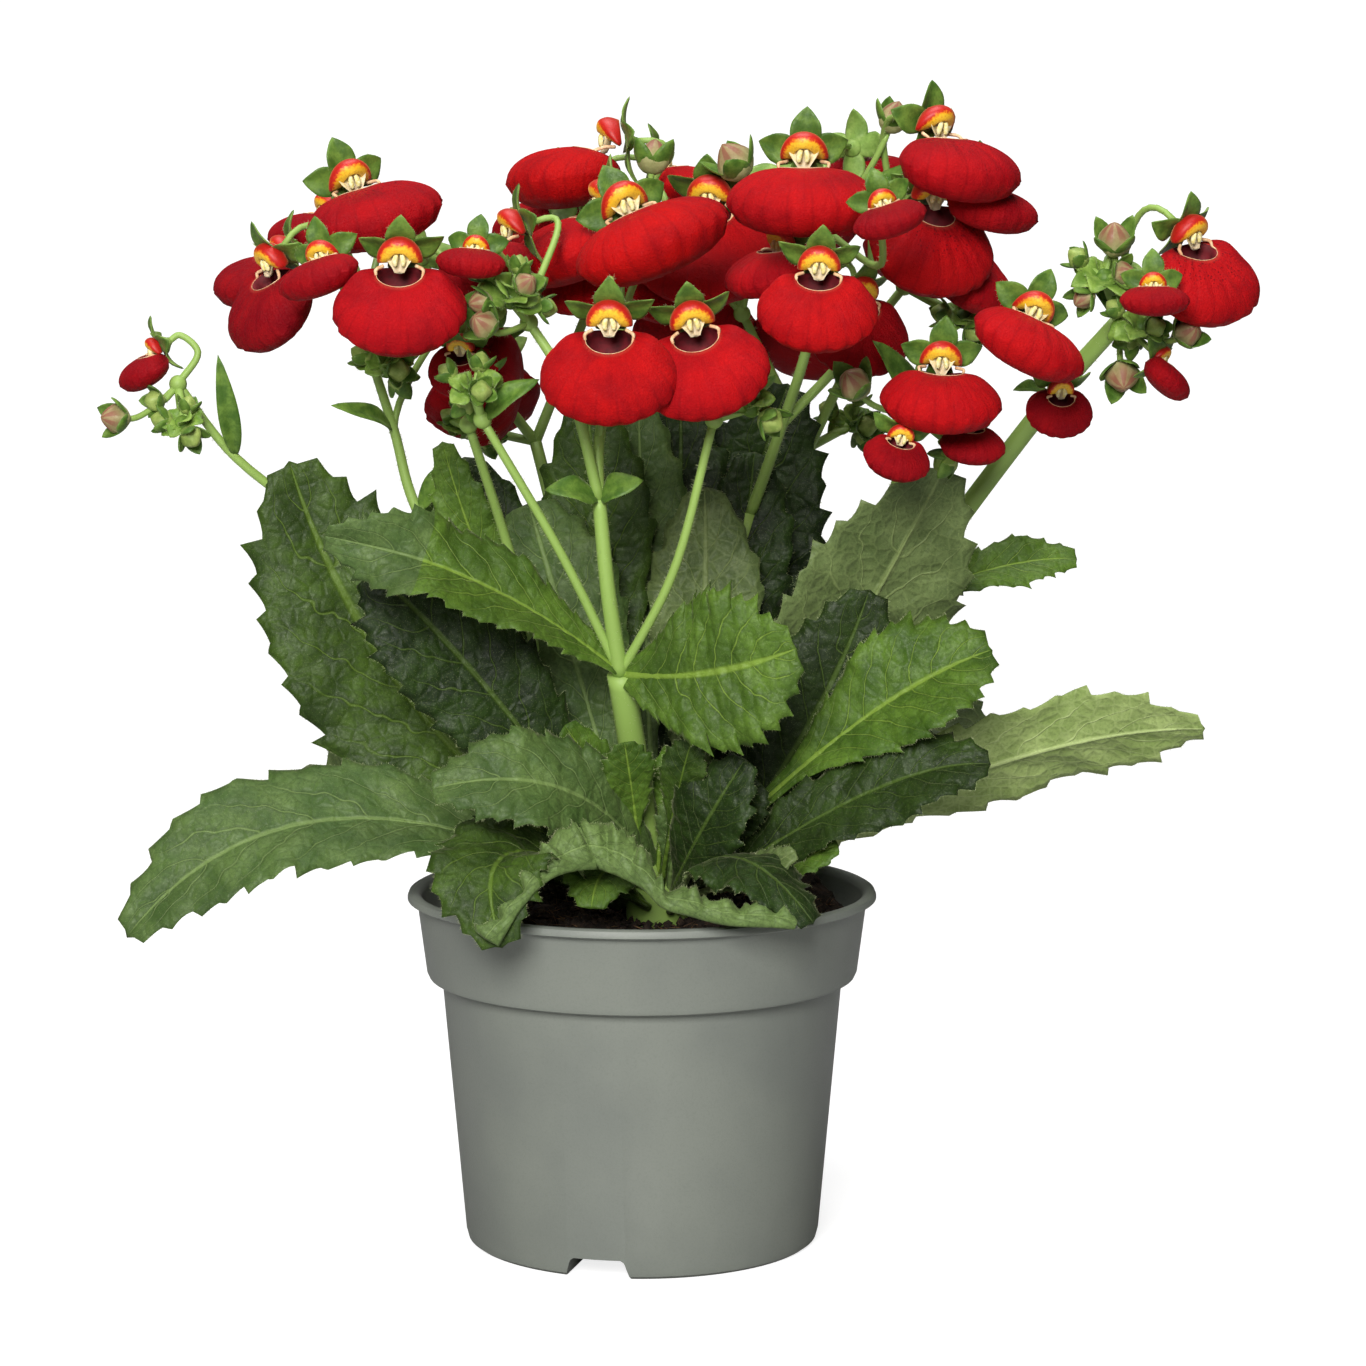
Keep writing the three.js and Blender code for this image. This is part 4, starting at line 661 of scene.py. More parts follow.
def pouch(skin, f, hue, finish, creases, crease_depth):
    """The pouch: round the mouth each column runs from the floor of its inside up to the mouth's
    rim, over the top to the outline and under to the middle of the belly. Its height is a flat
    ball's, level + depth * sqrt(1 - r^2.4), pressed in along radial creases."""
    half, rows_in, rows_top, rows_under, columns = f.half, 5, 13, 8, 60
    length, depth, middle, level = (POUCH[k] * half for k in ("length", "depth", "middle", "level"))
    mouth_y, mouth_l = 2 + 0.4 * half, 0.3 * half
    # the columns stand closer together in front, where the creases are
    turn = np.linspace(0, 2 * np.pi, columns, endpoint=False)
    turn = turn + 0.38 * np.sin(turn) - np.pi / 2
    c, s = np.cos(turn), np.sin(turn)
    front = smooth(-0.35, 0.35, s)
    # the distance to the nearest crease, in shares of the space between two creases
    near = np.abs((turn / np.pi * creases + 0.5) % 1 - 0.5) * 2
    uneven = 0.65 + 0.35 * np.sin(turn * 2.3 + 9 * hue) * np.cos(turn * 5.1 + 4 * hue)
    groove = (1 - smooth(0.0, 0.75, near)) * front * uneven
    scallop = 1 + front * (0.014 - 0.05 * groove)
    rim = np.stack([f.radius * c, mouth_y + mouth_l * s], -1)
    # the back of the outline is squarer than an ellipse
    square = np.where(s < 0, 1 - 0.18 * f.hang, 1)
    wide, far = np.sign(c) * np.abs(c) ** square, np.sign(s) * np.abs(s) ** square
    edge = np.stack([half * wide, middle + length * far], -1) * scallop[:, None]
    edge[:, 1] += middle * (1 - scallop)

    def height(xy):
        """The flat ball over the outline, level at its middle and steep at its edge."""
        r = np.hypot(xy[..., 0] / half, (xy[..., 1] - middle) / length)
        return depth * np.sqrt(np.maximum(0, 1 - np.minimum(1, r) ** POUCH["roundness"]))

    def shoulders(xy):
        """Two swellings beside the mouth."""
        x, y = np.abs(xy[..., 0]) / half - 0.6, xy[..., 1] / half - 0.52
        return (0.06 + 0.28 * f.hang) * depth * np.exp(-(x**2 + y**2) / 0.09)

    share = 1 - (1 - np.linspace(0, 1, rows_top)[1:, None]) ** 1.7
    top = rim + (edge - rim) * share[..., None]
    swell = 1 - crease_depth * groove * arch(share**1.7, 0.6)
    top_z = level + height(top) * swell + shoulders(top) * arch(share)
    top_z[-1] = level
    rim_z = level + height(rim)
    share_in = np.linspace(0, 1, rows_in)[:, None]
    centre = np.array([0, mouth_y + 0.12 * half])
    widen = np.sin(share_in * np.pi / 2) ** 0.8 * (1 + 0.22 * front * arch(share_in))
    inner = centre + (rim - centre) * widen[..., None]
    floor = level - 0.25 * depth
    inner_z = floor + (rim_z - floor) * share_in**1.6
    share_u = np.sin(np.linspace(0, 1, rows_under + 1)[1:, None] * np.pi / 2) ** 1.2
    under = edge + (np.array([0, middle]) - edge) * share_u[..., None]
    under_z = level - 0.96 * height(under) * (1 - 0.6 * crease_depth * groove * (1 - share_u))
    xy = np.concatenate([inner, top, under])
    grid = f.at(xy[..., 0], xy[..., 1], np.concatenate([inner_z, top_z, under_z]))
    v = np.concatenate([
        np.linspace(0, 1, rows_in), 1 + np.linspace(0, 1, rows_top)[1:],
        2 + np.linspace(0, 1, rows_under + 1)[1:],
    ]) / 3
    names = ["mouth_inside"] * (rows_in - 1) + [finish] * (len(grid) - rows_in)
    u = np.append((turn + np.pi / 2) / (2 * np.pi), 1)
    skin.surface(grid, names, hue, u, v, by_row=True)
    return np.column_stack([rim, rim_z]), turn


def hood(skin, f, hue):
    """The hood: a bent strip whose section runs from its base over its crown to the rolled front
    edge and back inside, swept round an arc of 200 degrees over the mouth. Returns the tips of
    its two corners."""
    half, r = f.half, f.radius
    low = 0.05 * half + 2
    deep = 0.3 * half + 2.7 - low
    section = np.array(HOOD)
    loop = np.vstack([section, section[:1] * 0.99])
    fine = through(np.column_stack([loop, np.zeros(len(loop))]), 2)[:-1, :2]
    radius, share = fine[:, 0] * r, fine[:, 1]
    turn = np.radians(np.linspace(-104, 104, 27))[:, None]
    # the hood narrows a little towards its two corners, and its crown has a shallow notch
    thin = 1 - 0.15 * smooth(1.2, 1.8, np.abs(turn))
    notch = 1 - 0.035 * np.exp(-((turn / 0.16) ** 2)) * smooth(0.5, 0.9, share)
    sweep = 0.16 * half * (1 - f.lean / 0.8)
    x = radius * np.sin(turn)
    z = f.foot_z + radius * np.cos(turn) * 1.1 * notch
    y = low + deep * share * thin - sweep * (1 - np.cos(turn)) * share
    skin.surface(f.cap(x, y, z), "hood", hue)
    return [f.cap(sign * 0.7 * r, low + 0.95 * deep - 1.1 * sweep, f.foot_z - 0.2 * r) for sign in (-1, 1)]


def mouth_parts(skin, f, rim, turn, corners, random):
    """The cream edge that runs from one corner of the hood down and round the front of the mouth
    to the other, the pale throat behind it and the two anthers under the hood. The edge is a bar
    through points of the rim, the throat a blade with hollow front, s^2 along and v^2 across, and
    an anther a bar whose radius is an arch to the power 0.4."""
    half, r = f.half, f.radius
    arc = rim[np.sin(turn) > -0.25]
    arc = arc[np.argsort(arc[:, 0])]
    lifted = f.at(arc[:, 0] * 1.01, arc[:, 1] + 0.1, arc[:, 2] + 0.05)
    bend = [corner * 0.45 + end * 0.55 + sign * 0.16 * r * f.side + 0.06 * r * f.up
            for corner, end, sign in zip(corners, (lifted[0], lifted[-1]), (-1, 1))]
    path = through(
        np.vstack([corners[:1], bend[:1], lifted[::5], lifted[-1:], bend[1:], corners[1:]]), 5
    )
    share = np.abs(np.linspace(-1, 1, len(path)))
    size = 0.55 + 0.027 * half
    tube(skin, path, (0.08 + 0.36 * smooth(0.45, 0.85, share)) * size, 8, "cream")
    # the throat, a hollow shell between the hood's feet that runs down into the mouth
    s = np.linspace(0, 1, 11)
    middle = f.cap(0 * s, 0.05 * half + 2.4 + (0.35 + 0.5 * s**2) * 0.25 * half,
                   f.foot_z + (0.62 - 1.12 * s) * r)
    front = unit(f.cap(0, 1, 0) - f.cap(0, 0, 0))
    bow = np.tile(0.3 * r * np.linspace(-1, 1, 9) ** 2, (11, 1))
    width = r * (0.62 - 0.42 * smooth(0.25, 1, s))
    blade(skin, middle, f.side, front, width, bow, 0.4, ("throat", "throat"))
    for sign in (-1, 1):
        splay = random.uniform(-0.1, 0.5)
        head = f.cap(sign * 0.55 * size, 0.3 * half + 2.2, f.foot_z + 0.4 * r)
        foot = f.cap(sign * (0.75 + splay) * size, 0.3 * half + 2.6, f.foot_z + 0.4 * r - 2.9 * size)
        path = head + (foot - head) * s[:, None] + f.side * (sign * 0.25 * np.sin(np.pi * s))[:, None]
        tube(skin, path, 0.68 * size * arch(np.linspace(0.08, 0.92, 11), 0.4), 12, "anther")
        root = f.cap(sign * 0.6, 0.05 * half + 3, f.foot_z + 0.3 * r)
        mid = (root + head) / 2 + 0.5 * f.up
        tube(skin, through([root, mid, head - 0.8 * f.up], 4), 0.22, 6, "throat")


def corolla(skin, f, hue, finish, settings, random):
    """One flower without its calyx."""
    rim, turn = pouch(skin, f, hue, finish, settings.creases, settings.crease_depth)
    mouth_parts(skin, f, rim, turn, hood(skin, f, hue), random)


def calyx(skin, f, random):
    """Four ovate sepals in a cross behind the flower, the side ones raised a little. Each is
    widest past its middle and ends in a short point. It rises by 0.7 sin(pi s), curls back by s^3
    towards its tip, and its margins stand up by |v|^1.6 and wave by a sine of s."""
    reach = 4.9 + 0.37 * f.half
    s = np.linspace(0, 1, 17)
    v = np.linspace(-1, 1, 11)
    outline = through(SEPAL, 6)
    half = 0.335 * reach * np.interp(s, outline[:, 0], outline[:, 1]) + 0.03
    for turn in (0.2, 1.571, 2.94, 4.712):
        angle = turn + random.uniform(-0.07, 0.07)
        away = f.side * math.cos(angle) + f.up * math.sin(angle)
        rise = -1.0 + 0.7 * np.sin(np.pi * s) - random.uniform(0.6, 2.0) * s**3
        middle = f.seat + away * (reach * random.uniform(0.94, 1.03) * s)[:, None] + f.out * rise[:, None]
        wave = 0.25 * np.sin(s * 8 + random.uniform(0, 6))[:, None] * v**2 * np.sign(v + 0.01)
        cup = 0.24 * half[:, None] * np.abs(v) ** 1.6 + wave
        grid = blade(skin, middle, np.cross(f.out, away), f.out, half, cup, 0.5,
                     ("sepal", "sepal_under"), random.uniform(-0.3, 0.3))
        margin_fuzz(skin, grid, 16, 0.7, random)
    path = f.seat + f.out * np.linspace(-2.9, 0.1, 7)[:, None]
    tube(skin, path, [0.9, 1.2, 1.7, 2.2, 2.5, 2.4, 1.9], 12, "sepal_under")


def flower_stalk(skin, f, random, hairs):
    """The stalk: a Bezier curve that rises from its fork, bends over and meets the flower along
    its length, or a smooth curve through the place that it has to pass."""
    start = place(f.fork)
    span = np.linalg.norm(start - f.seat)
    end = f.seat - 2.8 * f.out
    if f.passing:
        path = through([start, place(f.passing[0]), f.seat - 5.5 * f.out, end], 7)
    else:
        bends = start + UP * span * 0.4, end - 0.55 * span * f.out
        path = bezier([start, *bends, end], np.linspace(0, 1, 15))
    radii = np.linspace(0.95, 0.8, len(path))
    tube(skin, path, radii, 9, "stem")
    fuzz(skin, path, radii, int(span * hairs), 1.0, random)


# ---------------------------------------------------------------- leaves


def leaf(skin, plan, tint, random, hairs, columns=19, per_tooth=12):
    """A leaf on a bent midrib. Its half width swells as sin(pi * share^1.35)^0.9. Its margin is
    cut into large and small teeth that lean forward. The blade is folded along the rib, waved at
    the margin, quilted between its veins, and may twist."""
    root, mid, tip = (place(p) for p in plan.rib)
    control = 2 * mid - (root + tip) / 2
    half, teeth, start, finish = plan.half, plan.teeth, plan.bare, LOOKS[plan.look]
    s = np.concatenate([np.linspace(0, start, 6)[:-1], np.linspace(start, 1, teeth * per_tooth + 1)])
    middle = bezier([root, control, tip], s)
    along = unit(2 * (control - root) * (1 - s[:, None]) + 2 * (tip - control) * s[:, None])
    side = unit(np.cross(along, unit(np.array(plan.face, float))))
    up = np.cross(side, along)
    twist = plan.twist * smooth(plan.twist_from, 1, s)
    side, up = turned(side, along, twist), turned(up, along, twist)
    swell = arch(np.maximum(0, (s - start + 0.1) / (1.1 - start)) ** 1.35, 0.9)
    width = half * (0.14 + 0.86 * swell)
    width = np.where(s > 0.985, np.minimum(width, 0.5 + half * (1 - s) * 6), width)
    run = np.maximum(0, (s - start) / (1 - start)) * teeth
    v = np.linspace(-1, 1, columns)
    a = np.abs(v)
    depth = (0.11 * half + 0.5) * np.minimum(1, 2.2 * width / half) * (s < 0.99)
    # two teeth to each of the solid's, one large and one small, with hollow backs
    sizes = random.uniform(0.6, 1.3, (2 * teeth + 2, 2)) * np.tile([[0.6], [1.15]], (teeth + 1, 1))
    t = (run * 2) % 1
    hook = np.where(t < 0.7, (t / 0.7) ** 1.9, ((1 - t) / 0.3) ** 1.3)
    lobe = np.sin(np.pi * (run % 1)) ** 2
    tooth = 1.05 * hook[:, None] * sizes[(run * 2).astype(int)] + 0.3 * lobe[:, None] - 0.1
    tooth = (depth * (run > 0))[:, None] * tooth
    tooth = a**6 * np.where(v < 0, tooth[:, :1], tooth[:, 1:])
    phase = np.where(v > 0, 0, 1.7)
    ripple = plan.wave * v**2 * np.sin(s[:, None] * 19 + phase) * (width / half)[:, None]
    shift = random.uniform(0, 6, 2)
    crimp = np.sin(s[:, None] * 43 + shift[0] + 2 * v) + 0.6 * np.sin(s[:, None] * 71 + shift[1] - v)
    ripple = ripple + 0.35 * plan.wave * a**3 * crimp * (width / half)[:, None]
    ripple[s > 0.99] *= 0.3
    # between its side veins the blade stands up in rows of soft quilts
    veins = (run[:, None] - a * 1.15) % 1
    quilt = arch(veins) * arch(np.minimum(1, a * 1.02), 0.7)
    fine = np.sin(veins * 4 * np.pi) * np.sin(a * 5 * np.pi)
    puff = (0.06 * quilt + 0.016 * fine) * width[:, None]
    sag = plan.sag * np.maximum(0, -v)
    lift = (plan.fold * a - sag) * width[:, None] + ripple + puff
    lean = side[:, None] * (np.sign(v) * tooth)[..., None] + along[:, None] * (0.8 * tooth)[..., None]
    grid = blade(skin, middle, side, up, width, lift, 0.7, finish, tint, lean, s > plan.pale)
    rib = middle[:-teeth] - 0.25 * up[:-teeth]
    thick = np.linspace(0.11 * half**0.55 + 0.62, 0.3, len(rib))
    # the rib has the colour of the veins of the side that is seen
    tube(skin, rib, thick, 8, finish[1 if plan.face[1] > 0 else 0], tint, np.full(9, 0.5))
    margin_fuzz(skin, grid, hairs, 0.8, random, first=2)


def ruffle(skin, upper, lower, random):
    """A margin that curls over: a strip between two curves, bellied towards the front, whose upper
    edge is crimped by two sines and cut into small points."""
    high, low = through(upper, 20), through(lower, 20)
    s = np.linspace(0, 1, len(high))
    side = unit(high - low)
    along = unit(np.gradient((high + low) / 2, axis=0))
    front = unit(np.cross(side, along))
    front *= -np.sign(front[:, 1:2])
    length = np.concatenate([[0], np.cumsum(np.linalg.norm(np.diff(high, axis=0), axis=1))])
    ends = smooth(0, 0.04, s) * smooth(1, 0.96, s)
    point = (length / 4.2 + 0.35 * np.sin(length * 0.5)) % 1
    cut = np.where(point < 0.7, (point / 0.7) ** 1.6, ((1 - point) / 0.3)) * 1.7 - 0.4
    crimp = 2.3 * np.sin(length * 0.75) + 0.9 * np.sin(length * 1.4 + 1)
    v = np.linspace(-1, 1, 13)
    up = (v + 1) / 2
    belly = 1.6 * (1 - v**2)[None] + (crimp * ends)[:, None] * up**1.5
    rise = side[:, None] * ((cut * ends)[:, None] * up**5)[..., None]
    grid = blade(skin, (high + low) / 2, side, front, np.linalg.norm(high - low, axis=1) / 2, belly,
                 0.7, ("leaf_grey", "leaf_grey"), 0.8, rise)
    margin_fuzz(skin, grid, 360, 0.8, random, (-1,), first=2)


def small_leaf(skin, root, tip, width, random, upper="sepal", hairs=10):
    """A small ovate leaf on a stem. Its half width is sin(pi s^0.85)^0.85. It is keeled along its
    middle by |v|, and bent back by a tenth of its length times sin(pi s)."""
    s, v = np.linspace(0, 1, 12), np.linspace(-1, 1, 7)
    along = tip - root
    side = unit(np.cross(along, np.array([0, -0.8, 0.6])))
    up = unit(np.cross(side, along))
    bow = 0.1 * np.linalg.norm(along) * np.sin(np.pi * s)
    middle = root + along * s[:, None] + up * bow[:, None]
    half = width * 0.52 * arch(s**0.85, 0.85) + 0.12
    wave = 0.07 * width * np.sin(s * 9 + random.uniform(0, 6))[:, None]
    keel = 0.3 * half[:, None] * np.abs(v) + wave * v**2
    grid = blade(skin, middle, side, up, half, keel, 0.45, (upper, "sepal_under"),
                 random.uniform(-0.3, 0.4))
    margin_fuzz(skin, grid, hairs, 0.75, random)


# ---------------------------------------------------------------- stems and buds


def dice(seed):
    """A repeatable source of random numbers from 0 to 1, the same as the solids are made with."""
    while True:
        seed = (seed * 16807) % 2147483647
        yield seed / 2147483647


def bud(skin, root, middle, towards, size, random, finish):
    """A closed bud: a drop of radius sin(pi s^0.82)^0.75 with four soft ridges, cos(4 turn), on a
    foot drawn out from its root, held by four narrow sepals that bow out."""
    along = unit(towards)
    long = 3.1 * size
    s = np.linspace(0, 1, 12)
    foot = middle - 0.9 * long * along
    path = foot + along * (2.2 * long * s)[:, None]
    _, across, upright = frames(path)
    radius = 0.92 * long * arch(s**0.82, 0.75) + 0.08
    ridge = 1 + 0.1 * np.cos(np.arange(16) * np.pi / 2)[None] * np.sin(np.pi * s)[:, None]
    grid = path[:, None] + rings(path, 16) * (radius[:, None] * ridge)[..., None]
    skin.surface(grid, finish, random.uniform(-0.3, 0.3))
    tube(skin, np.linspace(root, foot + 0.3 * along, 5), 0.7, 7, "stem")
    s, v = np.linspace(0, 1, 9), np.linspace(-1, 1, 7)
    half = 0.7 * long * arch(s**0.85, 0.75) + 0.05
    for k in range(4):
        angle = np.pi / 2 * k + 0.4
        away = across[0] * math.cos(angle) + upright[0] * math.sin(angle)
        base = foot + 0.3 * along + away * 0.5
        tip = middle + along * (1.0 * long * random.uniform(0.8, 1.25)) + away * 1.5 * long
        line = base + (tip - base) * s[:, None] + np.sin(np.pi * s)[:, None] * away * 0.25 * long
        grid = blade(skin, line, unit(np.cross(away, along)), away, half,
                     -0.35 * half[:, None] * v**2, 0.4, ("sepal", "sepal"), random.uniform(-0.2, 0.5))
        margin_fuzz(skin, grid, 7, 0.7, random)


def ball(skin, middle, radius, finish):
    """A ball: a half circle carried round the upright axis."""
    rise = np.linspace(-np.pi / 2, np.pi / 2, 9)[:, None]
    turn = np.linspace(0, 2 * np.pi, 12, endpoint=False)[None]
    axes = np.cos(rise) * np.cos(turn), np.cos(rise) * np.sin(turn), np.sin(rise)
    skin.surface(middle + radius * np.stack(np.broadcast_arrays(*axes), -1), finish)


def cluster(skin, entry, seed, random):
    """Buds round the core of their cluster, in a spiral that opens upwards, among small leaves."""
    fork, spot, count, reach = entry
    roll = dice(seed)
    middle = place(spot)
    tube(skin, np.linspace(place(fork), middle, 7), np.linspace(1.15, 1.3, 7), 9, "stem")
    ball(skin, middle, 2.6, "sepal")
    for k in range(count + 7):
        turn = k * SPIRAL + 0.9
        away = unit(np.array([math.cos(turn), math.sin(turn), random.uniform(-0.5, 0.8)]))
        tip = middle + away * reach * random.uniform(0.9, 1.4)
        small_leaf(skin, middle + away * 1.5, tip, reach * random.uniform(0.65, 0.95), random,
                   "bract", 14)
    for k in range(count):
        turn = k * SPIRAL + next(roll)
        rise = 0.9 - (1.5 * k) / max(count - 1, 1) + 0.2 * next(roll)
        flat = math.sqrt(max(0.05, 1 - min(1, abs(rise)) ** 2))
        towards = unit(np.array([flat * math.cos(turn), flat * math.sin(turn), rise]))
        away = reach * (0.85 + 0.3 * next(roll))
        size = 0.92 * (0.8 + 0.35 * next(roll))
        bud(skin, middle + towards, middle + towards * away, towards, size, random,
            "bud_red" if count > 4 and k in (2, 4) else "bud")


# ---------------------------------------------------------------- finishes


def shade(red, green, blue):
    """A colour given as it looks on a screen, from 0 to 255, turned into light."""
    parts = np.array([red, green, blue]) / 255
    light = np.where(parts <= 0.04045, parts / 12.92, ((parts + 0.055) / 1.055) ** 2.4)
    return (*light, 1.0)


def darker(colour, share):
    """A share of a colour's light."""
    return (*(share * c for c in colour[:3]), 1)


class Value:
    """What a shader's node gives, which can be reckoned with: each step adds a Math node."""

    def __init__(self, finish, socket):
        self.finish, self.socket = finish, socket

    def maths(self, operation, other=0.0):
        """One step with this value and another value or number."""
        return self.finish.add("Math", {0: self, 1: other}, operation=operation)

    def __add__(self, other):
        return self.maths("ADD", other)

    def __sub__(self, other):
        return self.maths("SUBTRACT", other)

    def __mul__(self, other):
        return self.maths("MULTIPLY", other)

    def __abs__(self):
        return self.maths("ABSOLUTE")

    def near(self):
        """The distance to the middle between two whole numbers."""
        return abs(self.maths("FRACT") - 0.5)

    def step(self, low, high, to_low=0.0, to_high=1.0):
        """A soft step between two limits."""
        limits = {"From Min": low, "From Max": high, "To Min": to_low, "To Max": to_high}
        return self.finish.add("MapRange", {"Value": self, **limits}, interpolation_type="SMOOTHSTEP")


class Finish:
    """One material with its shader. `add` puts in a node, with each input given as a number, a
    colour or a Value, and returns one of its outputs as a Value."""

    def __init__(self, name, rough=0.5):
        """A new material, with a roughness from 0 to 1."""
        self.material = bpy.data.materials.new(name)
        self.material.use_nodes = True
        self.tree = self.material.node_tree
        self.shader = self.tree.nodes["Principled BSDF"]
        self.shine({"Roughness": rough})

    def set(self, node, inputs):
        """Gives inputs of a node, by name or number, a number or colour, or links a Value."""
        for name, value in inputs.items():
            if isinstance(value, Value):
                self.tree.links.new(value.socket, node.inputs[name])
            else:
                node.inputs[name].default_value = value

    def add(self, kind, inputs, output=0, **settings):
        node = self.tree.nodes.new("ShaderNode" + kind)
        for name, value in settings.items():
            setattr(node, name, value)
        self.set(node, inputs)
        return Value(self, node.outputs[output])

    def spot(self, space="Object"):
        """The place of a point, in metres of its piece or in the surface's pattern."""
        return self.add("TexCoord", {}, output=space)

    def noise(self, scale, detail=2.0, stretch=None, rough=0.5):
        """Cloudy noise, `scale` lumps to a metre of the piece."""
        spot = self.spot()
        if stretch:
            spot = self.add("Mapping", {0: spot, "Scale": stretch})
        return self.add("TexNoise", {"Vector": spot, "Scale": scale, "Detail": detail, "Roughness": rough})

    def cells(self, scale, feature="F1"):
        """The distance to the nearest of many scattered dots, or to the borders between them."""
        return self.add("TexVoronoi", {"Vector": self.spot(), "Scale": scale}, feature=feature)

    def pattern(self):
        """The two coordinates of the surface's own pattern."""
        first = self.add("SeparateXYZ", {0: self.spot("UV")})
        return first, Value(self, first.socket.node.outputs[1])

    def tint(self):
        """The shade that each flower or leaf was given."""
        return self.add("Attribute", {}, output="Fac", attribute_name="tint")

    def ramp(self, value, *stops):
        """Colours at places from 0 to 1, and those between them."""
        ramp = self.add("ValToRGB", {0: value})
        bar = ramp.socket.node.color_ramp.elements
        while len(bar) < len(stops):
            bar.new(0.5)
        for element, (place_on, colour) in zip(bar, stops):
            element.position, element.color = place_on, colour
        return ramp

    def mix(self, share, a, b, blend="MIX"):
        """Colour a with a share of colour b laid over it."""
        return self.add("Mix", {0: share, 6: a, 7: b}, output=2, data_type="RGBA", blend_type=blend)

    def bump(self, height, strength, distance):
        """Relief of the surface: `distance` in mm."""
        inputs = {"Height": height, "Strength": strength, "Distance": distance * MM}
        self.shine({"Normal": self.add("Bump", inputs)})

    def shine(self, inputs):
        """Sets the shader's own inputs."""
        self.set(self.shader, inputs)

    def sheen(self, weight, colour, specular=0.5, rough=0.35):
        """The soft light at the edges of velvet and down, and how strongly it mirrors."""
        self.shine({"Sheen Weight": weight, "Sheen Roughness": rough, "Sheen Tint": colour,
                    "Specular IOR Level": specular})

    def colour(self, value):
        """The shader's colour."""
        self.shine({"Base Color": value})


def petal_finish(name, settings, speckled):
    """The velvet of the pouches: scarlet to dark crimson by the flower's tint, clouded, with painted
    shade darkening the creases that run out from the mouth, dotted dark near the mouth on some."""
    m = Finish(name)
    m.sheen(settings.bloom, shade(255, 96, 110), 0.08)
    u, v = m.pattern()
    dark = (*settings.dark, 1)
    red = m.ramp(m.tint(), (0.0, (*settings.bright, 1)), (0.45, (*settings.middle, 1)), (1.0, dark))
    cloud = m.noise(170, 3).step(0.3, 0.72)
    red = m.mix(cloud * 0.2, red, shade(214, 30, 26))
    grain = m.noise(2300, 3, rough=0.7).step(0.35, 0.7)
    red = m.mix(grain * 0.2, red, shade(120, 2, 14))
    red = m.mix(m.noise(75, 4, rough=0.6).step(0.42, 0.68, 0, 0.42), red, dark)
    # fine streaks along the pouch, from the mouth to the edge
    along = m.add("CombineXYZ", {0: u, 1: v * 0.06})
    streak = m.add("TexNoise", {"Vector": along, "Scale": 60.0, "Detail": 3.0})
    red = m.mix(streak.step(0.5, 0.75, 0, 0.3), red, shade(132, 4, 18))
    # painted shade: the creases that run out from the mouth are darkened, as if shade lay in them
    near = ((u * 2 - 0.5) * float(settings.creases) + 0.5).near()
    crease = near.step(0.12, 0.0) * (v.step(0.4, 0.58) * v.step(0.82, 0.7))
    red = m.mix(crease * 0.26, red, shade(96, 0, 12))
    red = m.mix(v.step(0.69, 0.8) * 0.18, red, shade(186, 52, 62))
    if speckled:
        dots = m.cells(1150).step(0.34, 0.2) * v.step(0.52, 0.4)
        red = m.mix(dots * 0.8, red, shade(82, 2, 14))
    m.colour(m.mix(v.step(0.352, 0.335) * 0.4, red, shade(214, 84, 66)))
    m.shine({"Roughness": cloud.step(0, 1, 0.5, 0.72)})
    m.bump(grain * 0.6 + streak * 1.6 + m.noise(520, 3, rough=0.6) * 1.6, 0.7, 0.3)


def plant_finish(name, low, high, scale, rough, bump):
    """A green or pale part of the plant: two shades in soft clouds with a fine grain."""
    m = Finish(name)
    m.sheen(0.12, shade(235, 240, 195), 0.3)
    cloud = m.noise(scale, 3).step(0.32, 0.68)
    fine = m.noise(1500, 2, rough=0.65)
    colour = m.mix(fine.step(0.4, 0.7, 0, 0.25), m.mix(cloud, low, high), darker(low, 0.55))
    m.colour(colour)
    m.shine({"Roughness": fine.step(0.3, 0.7, rough - 0.08, rough + 0.1)})
    m.bump(fine, 0.5, bump)
    return m, colour


